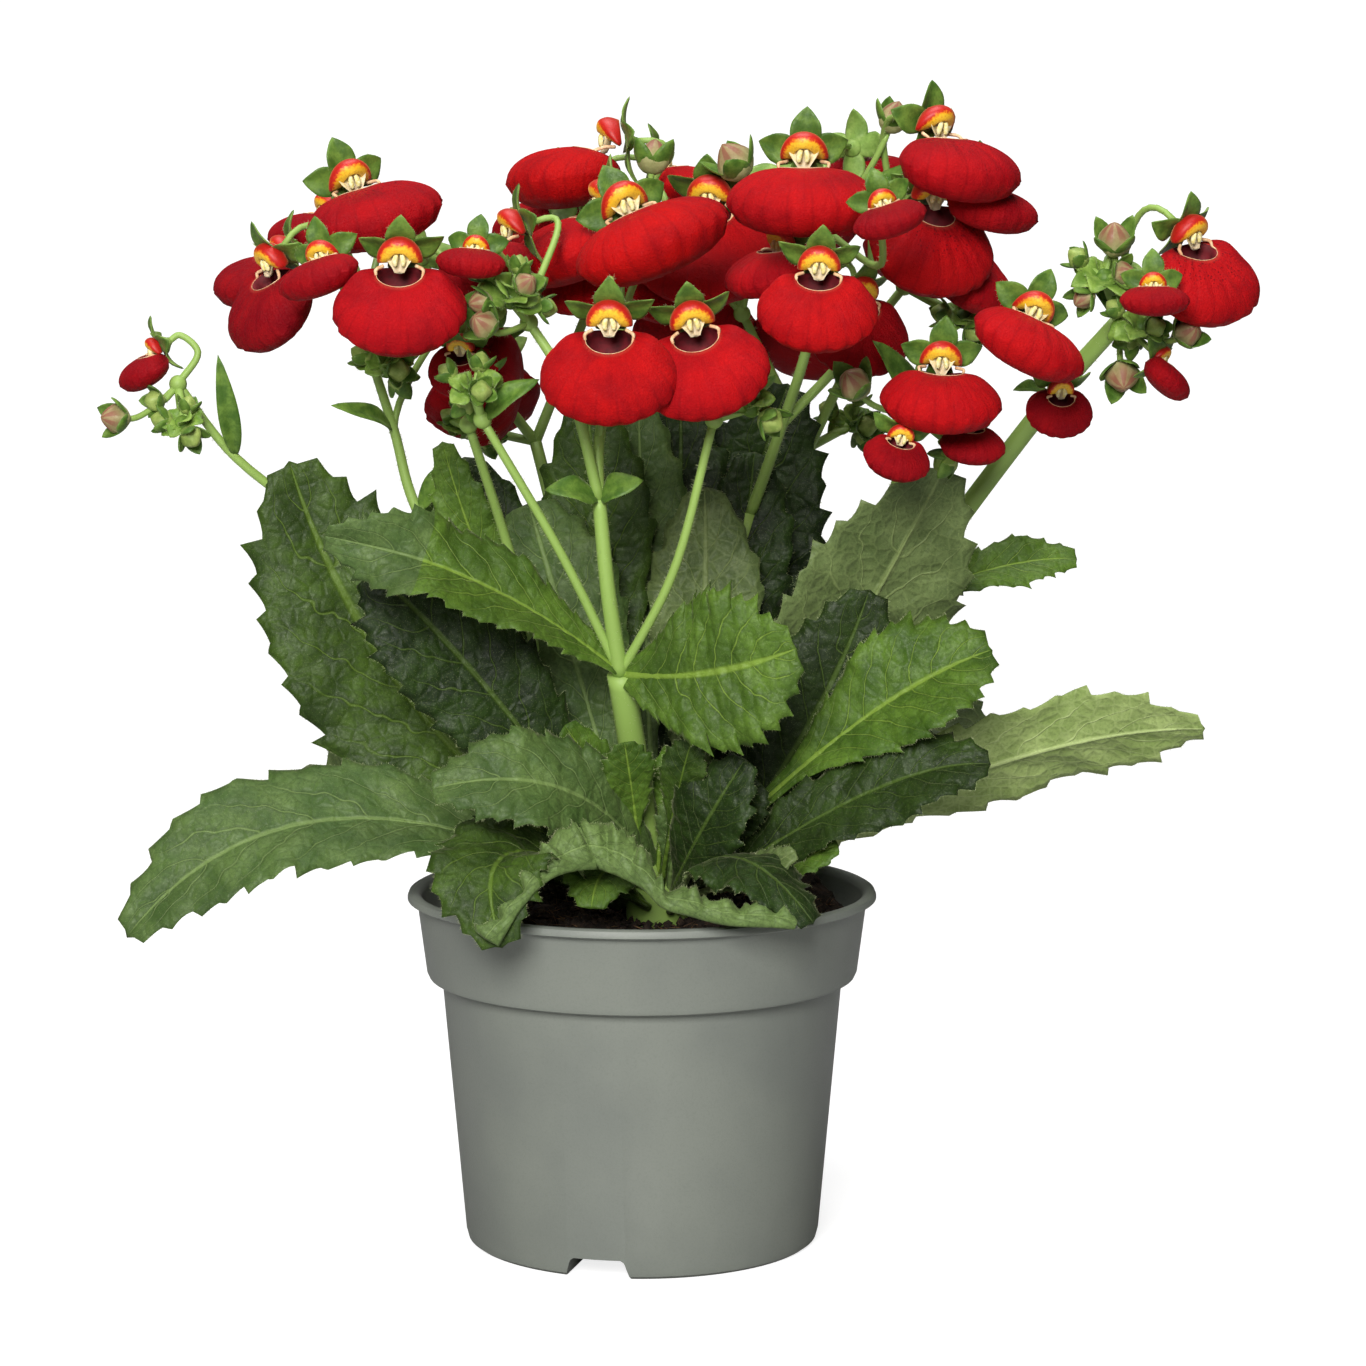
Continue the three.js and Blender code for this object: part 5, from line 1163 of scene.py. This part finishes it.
def leaf_finish(name, low, high, vein, under):
    """A leaf's skin. u runs across the blade and v along it. Pale veins: the midrib at u = 0.5,
    side veins that slant forward from it, and a net of small ones between them. On the under side
    they stand out. On the upper side the sunken net and the folds beside the side veins get
    painted shade."""
    m = Finish(name)
    m.sheen(0.1, shade(225, 235, 180), 0.25)
    dark = darker(low, 0.45)
    u, v = m.pattern()
    wide = abs((u - 0.5) * 2)
    fine = m.noise(1300, 3, rough=0.6)
    colour = m.mix(m.noise(120, 3).step(0.3, 0.7), low, high)
    colour = m.mix(m.tint() * 0.5, colour, vein)
    wobble = (m.noise(130, 1) - 0.5) * 0.8
    near = (v * 8.5 - wide.maths("POWER", 1.25) * 2.1 + wobble).near()
    inner = wide.step(1.0, 0.55)
    side_vein, rib = near.step(0.045, 0.01) * inner, wide.step(0.07, 0.02)
    web = m.cells(270.0, "DISTANCE_TO_EDGE")
    colour = m.mix(m.noise(45, 4, rough=0.6).step(0.38, 0.66, 0, 0.2 if under else 0.45), colour, dark)
    colour = m.mix(fine.step(0.42, 0.72, 0, 0.4), colour, dark)
    # on the under side the net of small veins is pale; on the upper side the sunken net is darkened as
    # painted shade in its grooves
    colour = m.mix(web.step(0.1, 0.0, 0, 0.16 if under else 0.22), colour, vein if under else dark)
    if not under:
        # painted shade: the side veins are pale lines, and beside them a dark line stands for the shade in
        # the fold
        colour = m.mix(near.step(0.16, 0.05) * inner * 0.3, colour, dark)
    strength = bpy.context.scene.plant_greens.veins
    colour = m.mix((rib * 0.5).maths("MAXIMUM", side_vein * strength), colour, vein)
    m.colour(m.mix(m.cells(2600).step(0.22, 0.1) * 0.32, colour, shade(170, 182, 120)))
    m.shine({"Roughness": fine.step(0.3, 0.7, 0.45, 0.65)})
    sign = -1.0 if under else 1.0
    veins = rib.maths("MAXIMUM", side_vein * 0.85)
    m.bump(web.step(0.0, 0.3) * sign + fine * 0.5 - veins * (1.1 * sign), 0.6, 0.34)


# Parts with two plain shades: the colours, then the size of their clouds, roughness and relief.
PLAIN_PARTS = (
    ("cream", (220, 168, 124), (238, 206, 164), 700, 0.45, 0.08),
    ("anther", (240, 222, 130), (253, 246, 200), 1600, 0.6, 0.12),
    ("sepal", (66, 100, 32), (106, 138, 54), 330, 0.5, 0.2),
    ("sepal_under", (106, 138, 58), (138, 166, 84), 330, 0.55, 0.2),
    ("bract", (96, 130, 46), (136, 166, 74), 330, 0.5, 0.2),
    ("bud", (126, 150, 70), (160, 178, 96), 420, 0.5, 0.15),
)
# Leaves whose shades stay as they are: deep, light and veins, and whether it is an under side.
PLAIN_LEAVES = (
    ("leaf_green", (38, 60, 15), (66, 92, 28), (104, 132, 46), False),
    ("leaf_grey", (66, 92, 42), (94, 118, 62), (128, 152, 88), False),
    ("leaf_under", (74, 92, 48), (102, 120, 70), (136, 152, 94), True),
    ("leaf_under_pale", (128, 150, 82), (160, 180, 110), (184, 200, 138), True),
)
# The hood's colours from its base over its crown to its front edge and back inside.
FLAME = (
    (0.0, (176, 16, 14)), (0.33, (190, 20, 12)), (0.375, (208, 52, 14)), (0.405, (240, 140, 22)),
    (0.45, (250, 196, 40)), (0.66, (250, 206, 70)), (0.71, (244, 226, 176)), (1.0, (240, 222, 196)),
)


def flower_finishes(settings):
    """The materials of the flowers and the buds."""
    petal_finish("petal", settings, False)
    petal_finish("petal_speckled", settings, True)
    m = Finish("mouth_inside", 0.75)
    streak = m.noise(420, 3)
    m.colour(m.ramp(streak, (0.25, shade(70, 2, 12)), (0.8, shade(128, 14, 30))))
    m.bump(streak, 0.5, 0.3)
    m = Finish("hood")
    m.sheen(0.35, shade(255, 190, 130), rough=0.4)
    at = m.pattern()[0] + (m.noise(1400, 2) - 0.5) * 0.16
    grain = m.noise(2200, 2)
    flame = m.ramp(at, *((spot, shade(*colour)) for spot, colour in FLAME))
    m.colour(m.mix(grain.step(0.45, 0.75, 0, 0.3), flame, shade(150, 8, 8), "MULTIPLY"))
    m.bump(grain, 0.4, 0.12)
    m, colour = plant_finish("throat", shade(226, 206, 150), shade(244, 230, 190), 900, 0.4, 0.08)
    _, v = m.pattern()
    m.colour(m.mix(v.step(0.45, 0.85, 0, 0.8), colour, shade(206, 186, 158)))
    m.shine({"Subsurface Weight": 0.2, "Subsurface Radius": (0.002, 0.0016, 0.001)})
    m, colour = plant_finish("bud_red", shade(150, 150, 98), shade(172, 168, 118), 420, 0.5, 0.15)
    u, v = m.pattern()
    stripe = (u * 6.0).near().step(0.16, 0.3)
    m.colour(m.mix((stripe * 0.35 + 0.4) * v.step(0.35, 0.8), colour, shade(132, 52, 54)))


def green_finishes(settings):
    """The materials of the stems, the leaves and all parts with plain shades."""
    # partly the stems' own deeper colour and partly painted shade: they are darker low down, where the leaves
    # stand round them
    m, colour = plant_finish("stem", (*settings.stem_dark, 1), (*settings.stem_light, 1), 200, 0.5, 0.15)
    height = m.add("SeparateXYZ", {0: m.spot()}, output=2)
    m.colour(m.mix(height.step(0.17, 0.115, 0, 0.6), colour, shade(52, 78, 22)))
    for name, low, high, scale, rough, bump in PLAIN_PARTS:
        plant_finish(name, shade(*low), shade(*high), scale, rough, bump)
    leaf_finish("leaf_dark", (*settings.leaf_dark, 1), (*settings.leaf_light, 1), shade(84, 108, 42), False)
    leaf_finish("leaf_bright", (*settings.bright_dark, 1), (*settings.bright_light, 1),
                shade(142, 172, 66), False)
    for name, low, high, vein, under in PLAIN_LEAVES:
        leaf_finish(name, shade(*low), shade(*high), shade(*vein), under)
    m = Finish("fine_hair", 0.4)
    m.colour(m.ramp(m.noise(300), (0.3, shade(160, 174, 112)), (0.7, shade(206, 216, 166))))


def ground_finishes(settings):
    """The materials of the peat, the pot and the floor."""
    m = Finish("peat", 0.95)
    lumps, fine = m.noise(230, 5, rough=0.62), m.noise(1100, 4, rough=0.7)
    soil = m.ramp(lumps, (0.3, shade(24, 18, 14)), (0.55, shade(52, 39, 30)), (0.75, shade(88, 66, 48)))
    m.colour(m.mix(fine.step(0.5, 0.75, 0, 0.5), soil, shade(112, 88, 64)))
    m.bump(lumps + fine * 0.6, 1.0, 1.4)
    m = Finish("fibre", 0.9)
    m.colour(m.ramp(m.noise(600), (0.3, shade(58, 40, 28)), (0.7, shade(140, 106, 72))))
    m = Finish("pot_plastic")
    cloud, fine = m.noise(26, 3), m.noise(1900, 3, rough=0.7)
    # lighter streaks that run up and down the plastic, which also give it relief
    pale_streaks = m.noise(70, 4, (1, 1, 0.35))
    grey = m.mix(cloud.step(0.3, 0.7), (*settings.shade_low, 1), (*settings.shade_high, 1))
    grey = m.mix(pale_streaks.step(0.52, 0.8, 0, 0.12), grey, shade(150, 154, 147))
    m.colour(m.mix(fine.step(0.45, 0.75, 0, 0.16), grey, shade(84, 88, 82)))
    m.shine({"Roughness": cloud.step(0.3, 0.7, 0.42, 0.6)})
    m.bump(fine + pale_streaks * 0.5, 0.35, 0.14)
    m = Finish("floor_paper", 0.9)
    m.colour(m.ramp(m.noise(3, 2), (0.3, (0.4, 0.4, 0.4, 1)), (0.7, (0.44, 0.44, 0.44, 1))))
    seen = m.add("LightPath", {}, output="Is Camera Ray")
    m.shine({"Emission Color": (1, 1, 1, 1), "Emission Strength": seen * 0.82})


# ---------------------------------------------------------------- pieces


def build_blooms(settings):
    """Every corolla: pouch, hood, mouth edge, throat and anthers, from its flower's own frame."""
    random = np.random.default_rng(3)
    for node, (hue, *flowers) in BLOOMS.items():
        skin = Skin()
        finish = "petal_speckled" if node in SPECKLED else "petal"
        for k, plan in enumerate(flowers):
            corolla(skin, Flower(plan), min(1, max(0, hue + 0.12 * k)), finish, settings, random)
        hand_over(skin.mesh(node), node)


def build_leaves():
    """The large leaves, each with its winged stalk."""
    random = np.random.default_rng(5)
    for node, plan in LEAVES.items():
        skin = Skin()
        leaf(skin, plan, random.uniform(-0.1, 0.2), random, 300)
        if node in RUFFLES:
            ruffle(skin, *RUFFLES[node], random)
        hand_over(skin.mesh(node), node)


def build_sprays(flowers, greens):
    """The branching stems with all that grows on them: stalks, calyces, buds and small leaves."""
    random = np.random.default_rng(7)
    open_flowers = [plan for _, *plans in BLOOMS.values() for plan in plans]
    for node, parts in SPRAYS.items():
        skin = Skin()
        forks = {p for points, _, _ in parts["stems"] for p in points if isinstance(p, str)}
        for points, first, last in parts["stems"]:
            path = through([place(p) for p in points], 9)
            radii = np.linspace(first, last, len(path)) * (1.12 if first > 2.5 else 0.95)
            tube(skin, path, radii, 14, "stem")
            length = np.linalg.norm(np.diff(path, axis=0), axis=1).sum()
            fuzz(skin, path, radii, int(length * greens.hairs * 2), 1.2, random)
        for knot in parts["knots"]:
            ball(skin, place(knot), 2.3, "stem")
        for plan in (*open_flowers, *HALF_OPEN):
            f = Flower(plan)
            if f.fork in forks:
                flower_stalk(skin, f, random, greens.hairs)
                calyx(skin, f, random)
                if plan in HALF_OPEN:
                    corolla(skin, f, 0.75, "petal", flowers, random)
        for k, entry in enumerate(parts["clusters"]):
            cluster(skin, entry, 11 + 7 * k, random)
        for fork, spot, size in parts["buds"]:
            start, middle = place(fork), place(spot)
            span = np.linalg.norm(middle - start)
            towards = unit(unit(middle - start) + 0.5 * UP)
            root = middle - towards * 2.6 * size
            path = bezier([start, middle - towards * 0.4 * span, root], np.linspace(0, 1, 11))
            tube(skin, path, 0.8, 9, "stem")
            fuzz(skin, path, 0.8, int(span * greens.hairs), 0.9, random)
            bud(skin, root, middle, towards, size, random, "bud_red" if size > 1.15 else "bud")
        for fork, tip, width in parts["bracts"]:
            small_leaf(skin, place(fork), place(tip), width, random)
        for plan in STEM_LEAVES.get(node, ()):
            leaf(skin, plan, 0.1, random, 120)
        hand_over(skin.mesh(node), node)


def build_crown():
    """The stout stalk in the soil, a few leaf bases round it and the small inner leaves."""
    random = np.random.default_rng(9)
    skin = Skin()
    path = np.linspace(STALK_FOOT, STALK_TOP, 12)
    tube(skin, path, np.linspace(7.4, 8.6, 12), 24, "stem")
    fuzz(skin, path[3:], 8.0, 500, 1.2, random)
    for plan in (*STEM_LEAVES["crown"], *INNER_LEAVES):
        leaf(skin, plan, random.uniform(-0.1, 0.1), random, 90, 13, 10)
    hand_over(skin.mesh("crown"), "crown")


def heap(x, y):
    """The height of the heap of peat at the back: a bell, 8 mm high."""
    return 8 * np.exp(-((x - 40) ** 2 + (y - 28) ** 2) / 90)


def strewn(count, reach, height, random):
    """Places on the peat, evenly spread within a reach of its middle."""
    spot, angle = np.sqrt(random.uniform(0, 1, count)) * reach, random.uniform(0, 2 * np.pi, count)
    x, y = spot * np.cos(angle), spot * np.sin(angle)
    return np.stack([x, y, height + heap(x, y)], -1)


def build_soil(settings):
    """The peat: a lathe shape whose top is lifted by several sines and by a heap at the back, with
    crumbs and fibres lying on it. A crumb is an octahedron whose six corners are pulled in or out
    at random."""
    random = np.random.default_rng(13)
    skin = Skin()
    turn = np.linspace(0, 2 * np.pi, 150, endpoint=False)
    wall_r, wall_z = np.array(SOIL_WALL).T
    top_r, floor_r = np.linspace(0, SOIL_RADIUS, 60), np.linspace(wall_r[-1], 0, 6)[1:]
    radius = np.concatenate([top_r, wall_r, floor_r])
    x, y = radius[:, None] * np.cos(turn), radius[:, None] * np.sin(turn)
    bump = (
        1.3 * np.sin(x * 0.21 + 1) * np.cos(y * 0.18) + 0.8 * np.sin(x * 0.53 + 2) * np.sin(y * 0.47 + 1)
        + 0.45 * np.sin(x * 1.1) * np.sin(y * 1.23 + 2) + random.normal(0, 0.28, x.shape)
    )
    z = SOIL_LEVEL + np.clip(bump, -2.2, 1.8) + heap(x, y)
    z[0] = z[0, 0]
    z[len(top_r):] = np.concatenate([wall_z, np.full(len(floor_r), wall_z[-1])])[:, None]
    skin.surface(np.stack([x, y, z], -1), "peat")
    n = settings.crumbs
    spots = strewn(n, 51, SOIL_LEVEL + 0.6, random)
    size = random.uniform(0.35, 1.5, (n, 1, 1)) * random.uniform(0.6, 1.3, (n, 6, 1))
    faces = [(0, 1, 4), (1, 2, 4), (2, 3, 4), (3, 0, 4), (1, 0, 5), (2, 1, 5), (3, 2, 5), (0, 3, 5)]
    corner = np.concatenate([np.eye(3)[:2], -np.eye(3)[:2], [UP, -UP]])
    skin.solids(spots[:, None] + corner * size, faces, "peat")
    n = settings.fibres
    root = strewn(n, 49, SOIL_LEVEL + 0.9, random)
    lay = unit(random.normal(0, 1, (n, 3)) * (1, 1, 0.25) + (0, 0, 0.15))
    tip = root + lay * random.uniform(2, 7, (n, 1))
    # no fibre reaches into the pot's wall
    tip[:, :2] *= np.minimum(1, 53 / np.hypot(tip[:, 0], tip[:, 1]))[:, None]
    skin.hairs(root, tip, FIBRE, "fibre")
    hand_over(skin.mesh("soil"), "soil")


def block(skin, first, last):
    """A block between two rings of points, each closed by a fan from its middle."""
    skin.surface(np.stack([first, first, last, last]), "pot_plastic")


def channels(extra, low, reach):
    """The three drainage channels: a section with sloping sides and rounded upper corners, carried
    out along the radius. It is larger by `extra` on each side, starts at the height `low` and
    ends at the two radii of `reach`, the first at its foot and the other at its top."""
    skin = Skin()
    half = np.array(CHANNEL) + extra
    half[0, 1] = low
    across, up = np.vstack([half, [0, half[-1, 1]], (half * (-1, 1))[::-1]]).T
    far = np.sqrt(np.interp(up, (0, up.max()), reach) ** 2 - across**2)
    for a in CHANNELS:
        c, s = math.cos(a), math.sin(a)
        block(skin, *(
            np.column_stack([r * c - across * s, r * s + across * c, up])
            for r in (np.full(len(up), CHANNEL_START - extra), far)
        ))
    return skin.mesh("channels")


def drain_holes():
    """A round hole through the roof of each channel."""
    skin = Skin()
    turn = np.linspace(0, 2 * np.pi, 32, endpoint=False)
    for a in CHANNELS:
        x = HOLE_AT * math.cos(a) + HOLE_RADIUS * np.cos(turn)
        y = HOLE_AT * math.sin(a) + HOLE_RADIUS * np.sin(turn)
        block(skin, *(np.column_stack([x, y, np.full(32, z)]) for z in (3.0, 8.0)))
    return skin.mesh("holes")


def build_pot():
    """The pot: its section turned about the upright axis, with drainage channels pressed up under
    the floor and a drain hole through the roof of each."""
    turn = np.linspace(0, 2 * np.pi, 240, endpoint=False)
    section = np.array([(0, 0), *POT, (0, FLOOR)], float)
    skin = Skin()
    x, y = section[:, :1] * np.cos(turn), section[:, :1] * np.sin(turn)
    skin.surface(np.stack([x, y, np.broadcast_to(section[:, 1:], x.shape)], -1), "pot_plastic")
    shell = link("shell", skin.mesh("shell"))
    tools = []
    for mesh, operation in (
        (channels(FLOOR, 0, (43.4, 44.8)), "UNION"),
        (channels(0, -1, (60, 60)), "DIFFERENCE"),
        (drain_holes(), "DIFFERENCE"),
    ):
        tools.append(link("tool", mesh))
        modifier = shell.modifiers.new("carve", "BOOLEAN")
        modifier.object, modifier.operation, modifier.solver = tools[-1], operation, "EXACT"
    graph = bpy.context.evaluated_depsgraph_get()
    mesh = bpy.data.meshes.new_from_object(shell.evaluated_get(graph))
    for thing in [shell, *tools]:
        bpy.data.objects.remove(thing)
    mesh.name = "pot"
    mesh.set_sharp_from_angle(angle=math.radians(38))
    hand_over(mesh, "pot")


def build_stage(settings):
    """The pale floor, which bends up far behind the plant, soft lights and the camera."""
    y = np.concatenate([np.linspace(-1000, 900, 12), np.linspace(900, 2200, 24)[1:]])
    z = 900 * (1 - np.cos(smooth(900, 2200, y) * np.pi / 2)) + np.maximum(0, y - 1700) * 0.9
    x = np.linspace(-900, 900, 12)
    grid = np.stack(np.broadcast_arrays(x, y[:, None], z[:, None]), -1) * MM
    index = np.arange(len(y) * len(x)).reshape(len(y), len(x))
    quads = np.stack([index[:-1, :-1], index[:-1, 1:], index[1:, 1:], index[1:, :-1]], -1)
    mesh = bpy.data.meshes.new("floor")
    mesh.from_pydata(grid.reshape(-1, 3), [], quads.reshape(-1, 4).tolist())
    mesh.polygons.foreach_set("use_smooth", np.ones(len(mesh.polygons), bool))
    mesh.materials.append(bpy.data.materials["floor_paper"])
    floor = link("floor", mesh)
    for name, spot, aim, size, power, tone in (
        ("key", (-0.25, -1.7, 0.95), (0, 0, 0.16), 0.7, settings.key, (1.0, 0.985, 0.96)),
        ("fill", (1.2, -1.3, 0.7), (0, 0, 0.15), 1.0, settings.fill, (0.97, 0.98, 1.0)),
        ("top", (-0.1, 0.1, 1.7), (0, 0, 0.15), 0.9, settings.top, (1.0, 1.0, 1.0)),
    ):
        lamp = bpy.data.lights.new(name, "AREA")
        lamp.energy, lamp.size, lamp.color = power, size, tone
        thing = link(name, lamp)
        thing.location = spot
        thing.rotation_euler = (Vector(aim) - Vector(spot)).to_track_quat("-Z", "Y").to_euler()
    # the even light from all round, which the camera sees as white
    world = bpy.data.worlds.new("studio")
    world.use_nodes = True
    nodes, links = world.node_tree.nodes, world.node_tree.links
    nodes["Background"].inputs[0].default_value = (1, 1, 1, 1)
    seen = nodes.new("ShaderNodeLightPath").outputs["Is Camera Ray"]
    share = nodes.new("ShaderNodeMapRange")
    share.inputs["To Min"].default_value = settings.surround
    links.new(seen, share.inputs["Value"])
    links.new(share.outputs[0], nodes["Background"].inputs[1])
    bpy.context.scene.world = world
    lens = bpy.data.cameras.new("camera")
    lens.lens, lens.sensor_width = settings.lens, 36
    lens.clip_start, lens.clip_end = 0.05, 20
    camera = link("camera", lens)
    camera.location = CAMERA_AT
    camera.rotation_euler = (math.pi / 2 - settings.pitch, 0, 0)
    bpy.context.scene.camera = camera
    bpy.context.scene.view_settings.view_transform = "Standard"


# ---------------------------------------------------------------- settings


def colour_setting(name, description, *default):
    """A colour that the user may change."""
    return FloatVectorProperty(name=name, description=description, subtype="COLOR", size=3, min=0,
                               max=1, default=shade(*default)[:3])


class PlantFlowers(bpy.types.PropertyGroup):
    bright: colour_setting("Scarlet", "Colour of the brightest pouches", 184, 10, 7)
    middle: colour_setting("Crimson", "Colour of the pouches in between", 172, 9, 20)
    dark: colour_setting("Dark crimson", "Colour of the darkest pouches", 104, 2, 15)
    bloom: FloatProperty(
        name="Velvet", description="Strength of the velvet's sheen", default=0.07, min=0, max=1,
        subtype="FACTOR")
    creases: IntProperty(
        name="Creases", description="Creases over the front of a pouch", default=9, min=3, max=16)
    crease_depth: FloatProperty(
        name="Crease depth", description="Depth of a crease, as a share of the pouch's height",
        default=0.09, min=0, max=0.4, subtype="FACTOR")


class PlantGreens(bpy.types.PropertyGroup):
    stem_dark: colour_setting("Stem, deep", "Deeper shade of the stems", 96, 126, 30)
    stem_light: colour_setting("Stem, light", "Lighter shade of the stems", 146, 174, 48)
    leaf_dark: colour_setting("Leaf, deep", "Deeper shade of the dark leaves", 22, 39, 9)
    leaf_light: colour_setting("Leaf, light", "Lighter shade of the dark leaves", 43, 66, 19)
    bright_dark: colour_setting("Young leaf, deep", "Deeper shade of the bright leaves", 60, 90, 24)
    bright_light: colour_setting("Young leaf, light", "Lighter shade of the bright leaves", 92, 124, 42)
    veins: FloatProperty(
        name="Veins", description="Strength of the pale veins", default=0.42, min=0, max=1,
        subtype="FACTOR")
    hairs: FloatProperty(
        name="Hairs", description="Hairs to a millimetre of a flower's stalk", default=3.5, min=0,
        max=20)


class PlantSoil(bpy.types.PropertyGroup):
    crumbs: IntProperty(
        name="Crumbs", description="Lumps that lie on the peat", default=1500, min=0, max=5000)
    fibres: IntProperty(
        name="Fibres", description="Fibres that lie on the peat", default=500, min=0, max=3000)


class PlantPot(bpy.types.PropertyGroup):
    shade_low: colour_setting("Grey, deep", "Deeper shade of the plastic", 117, 122, 116)
    shade_high: colour_setting("Grey, light", "Lighter shade of the plastic", 127, 132, 124)


class PlantStage(bpy.types.PropertyGroup):
    lens: FloatProperty(
        name="Lens", description="Length of the camera's lens in mm", default=109.9, min=20, max=300,
        unit="CAMERA")
    pitch: FloatProperty(
        name="Pitch", description="How far the camera looks down", default=0.1275, subtype="ANGLE",
        unit="ROTATION")
    key: FloatProperty(
        name="Key light", description="Power of the main light", default=45, unit="POWER")
    fill: FloatProperty(
        name="Fill light", description="Power of the light at the right", default=0.7, unit="POWER")
    top: FloatProperty(
        name="Top light", description="Power of the light overhead", default=19, unit="POWER")
    surround: FloatProperty(
        name="Surround", description="Strength of the even light from all round", default=0.045,
        min=0, max=3)


# ---------------------------------------------------------------- operators and panel


class PLANT_OT_finishes(bpy.types.Operator):
    """Make all the materials"""

    bl_idname = "plant.finishes"
    bl_label = "Finishes"

    def execute(self, context):
        flower_finishes(context.scene.plant_flowers)
        green_finishes(context.scene.plant_greens)
        ground_finishes(context.scene.plant_pot)
        return {"FINISHED"}


class PLANT_OT_pot(bpy.types.Operator):
    """Build the pot"""

    bl_idname = "plant.pot"
    bl_label = "Pot"

    def execute(self, context):
        build_pot()
        return {"FINISHED"}


class PLANT_OT_soil(bpy.types.Operator):
    """Build the peat in the pot"""

    bl_idname = "plant.soil"
    bl_label = "Soil"

    def execute(self, context):
        build_soil(context.scene.plant_soil)
        return {"FINISHED"}


class PLANT_OT_crown(bpy.types.Operator):
    """Build the stout stalk and the small inner leaves"""

    bl_idname = "plant.crown"
    bl_label = "Crown"

    def execute(self, context):
        build_crown()
        return {"FINISHED"}


class PLANT_OT_sprays(bpy.types.Operator):
    """Build the branching stems with their stalks, buds, calyces and small leaves"""

    bl_idname = "plant.sprays"
    bl_label = "Sprays"

    def execute(self, context):
        build_sprays(context.scene.plant_flowers, context.scene.plant_greens)
        return {"FINISHED"}


class PLANT_OT_leaves(bpy.types.Operator):
    """Build the large leaves"""

    bl_idname = "plant.leaves"
    bl_label = "Leaves"

    def execute(self, context):
        build_leaves()
        return {"FINISHED"}


class PLANT_OT_blooms(bpy.types.Operator):
    """Build the pouched flowers"""

    bl_idname = "plant.blooms"
    bl_label = "Blooms"

    def execute(self, context):
        build_blooms(context.scene.plant_flowers)
        return {"FINISHED"}


class PLANT_OT_stage(bpy.types.Operator):
    """Build the floor, the lights and the camera"""

    bl_idname = "plant.stage"
    bl_label = "Stage"

    def execute(self, context):
        build_stage(context.scene.plant_stage)
        return {"FINISHED"}


class PLANT_PT_panel(bpy.types.Panel):
    """Settings and builders of the plant"""

    bl_idname = "PLANT_PT_panel"
    bl_label = "Pocketbook Plant"
    bl_space_type = "VIEW_3D"
    bl_region_type = "UI"
    bl_category = "Plant"

    def draw(self, context):
        layout = self.layout
        for name, group in GROUPS.items():
            box = layout.box()
            for setting in group.__annotations__:
                box.prop(getattr(context.scene, name), setting)
        for operator in OPERATORS:
            layout.operator(operator.bl_idname)


GROUPS = {
    "plant_flowers": PlantFlowers, "plant_greens": PlantGreens, "plant_soil": PlantSoil,
    "plant_pot": PlantPot, "plant_stage": PlantStage,
}
OPERATORS = (
    PLANT_OT_finishes, PLANT_OT_stage, PLANT_OT_pot, PLANT_OT_soil, PLANT_OT_crown,
    PLANT_OT_sprays, PLANT_OT_leaves, PLANT_OT_blooms,
)


def register():
    """Makes the classes known and gives the scene their settings."""
    for cls in (*GROUPS.values(), *OPERATORS, PLANT_PT_panel):
        bpy.utils.register_class(cls)
    for name, group in GROUPS.items():
        setattr(bpy.types.Scene, name, PointerProperty(type=group))


def unregister():
    """Takes the settings and the classes away again."""
    for name in GROUPS:
        delattr(bpy.types.Scene, name)
    for cls in (PLANT_PT_panel, *reversed(OPERATORS), *reversed(GROUPS.values())):
        bpy.utils.unregister_class(cls)


def main():
    """Builds everything in order."""
    register()
    bpy.ops.plant.finishes()
    bpy.ops.plant.stage()
    bpy.ops.plant.pot()
    bpy.ops.plant.soil()
    bpy.ops.plant.crown()
    bpy.ops.plant.sprays()
    bpy.ops.plant.leaves()
    bpy.ops.plant.blooms()


if __name__ == "__main__":
    main()
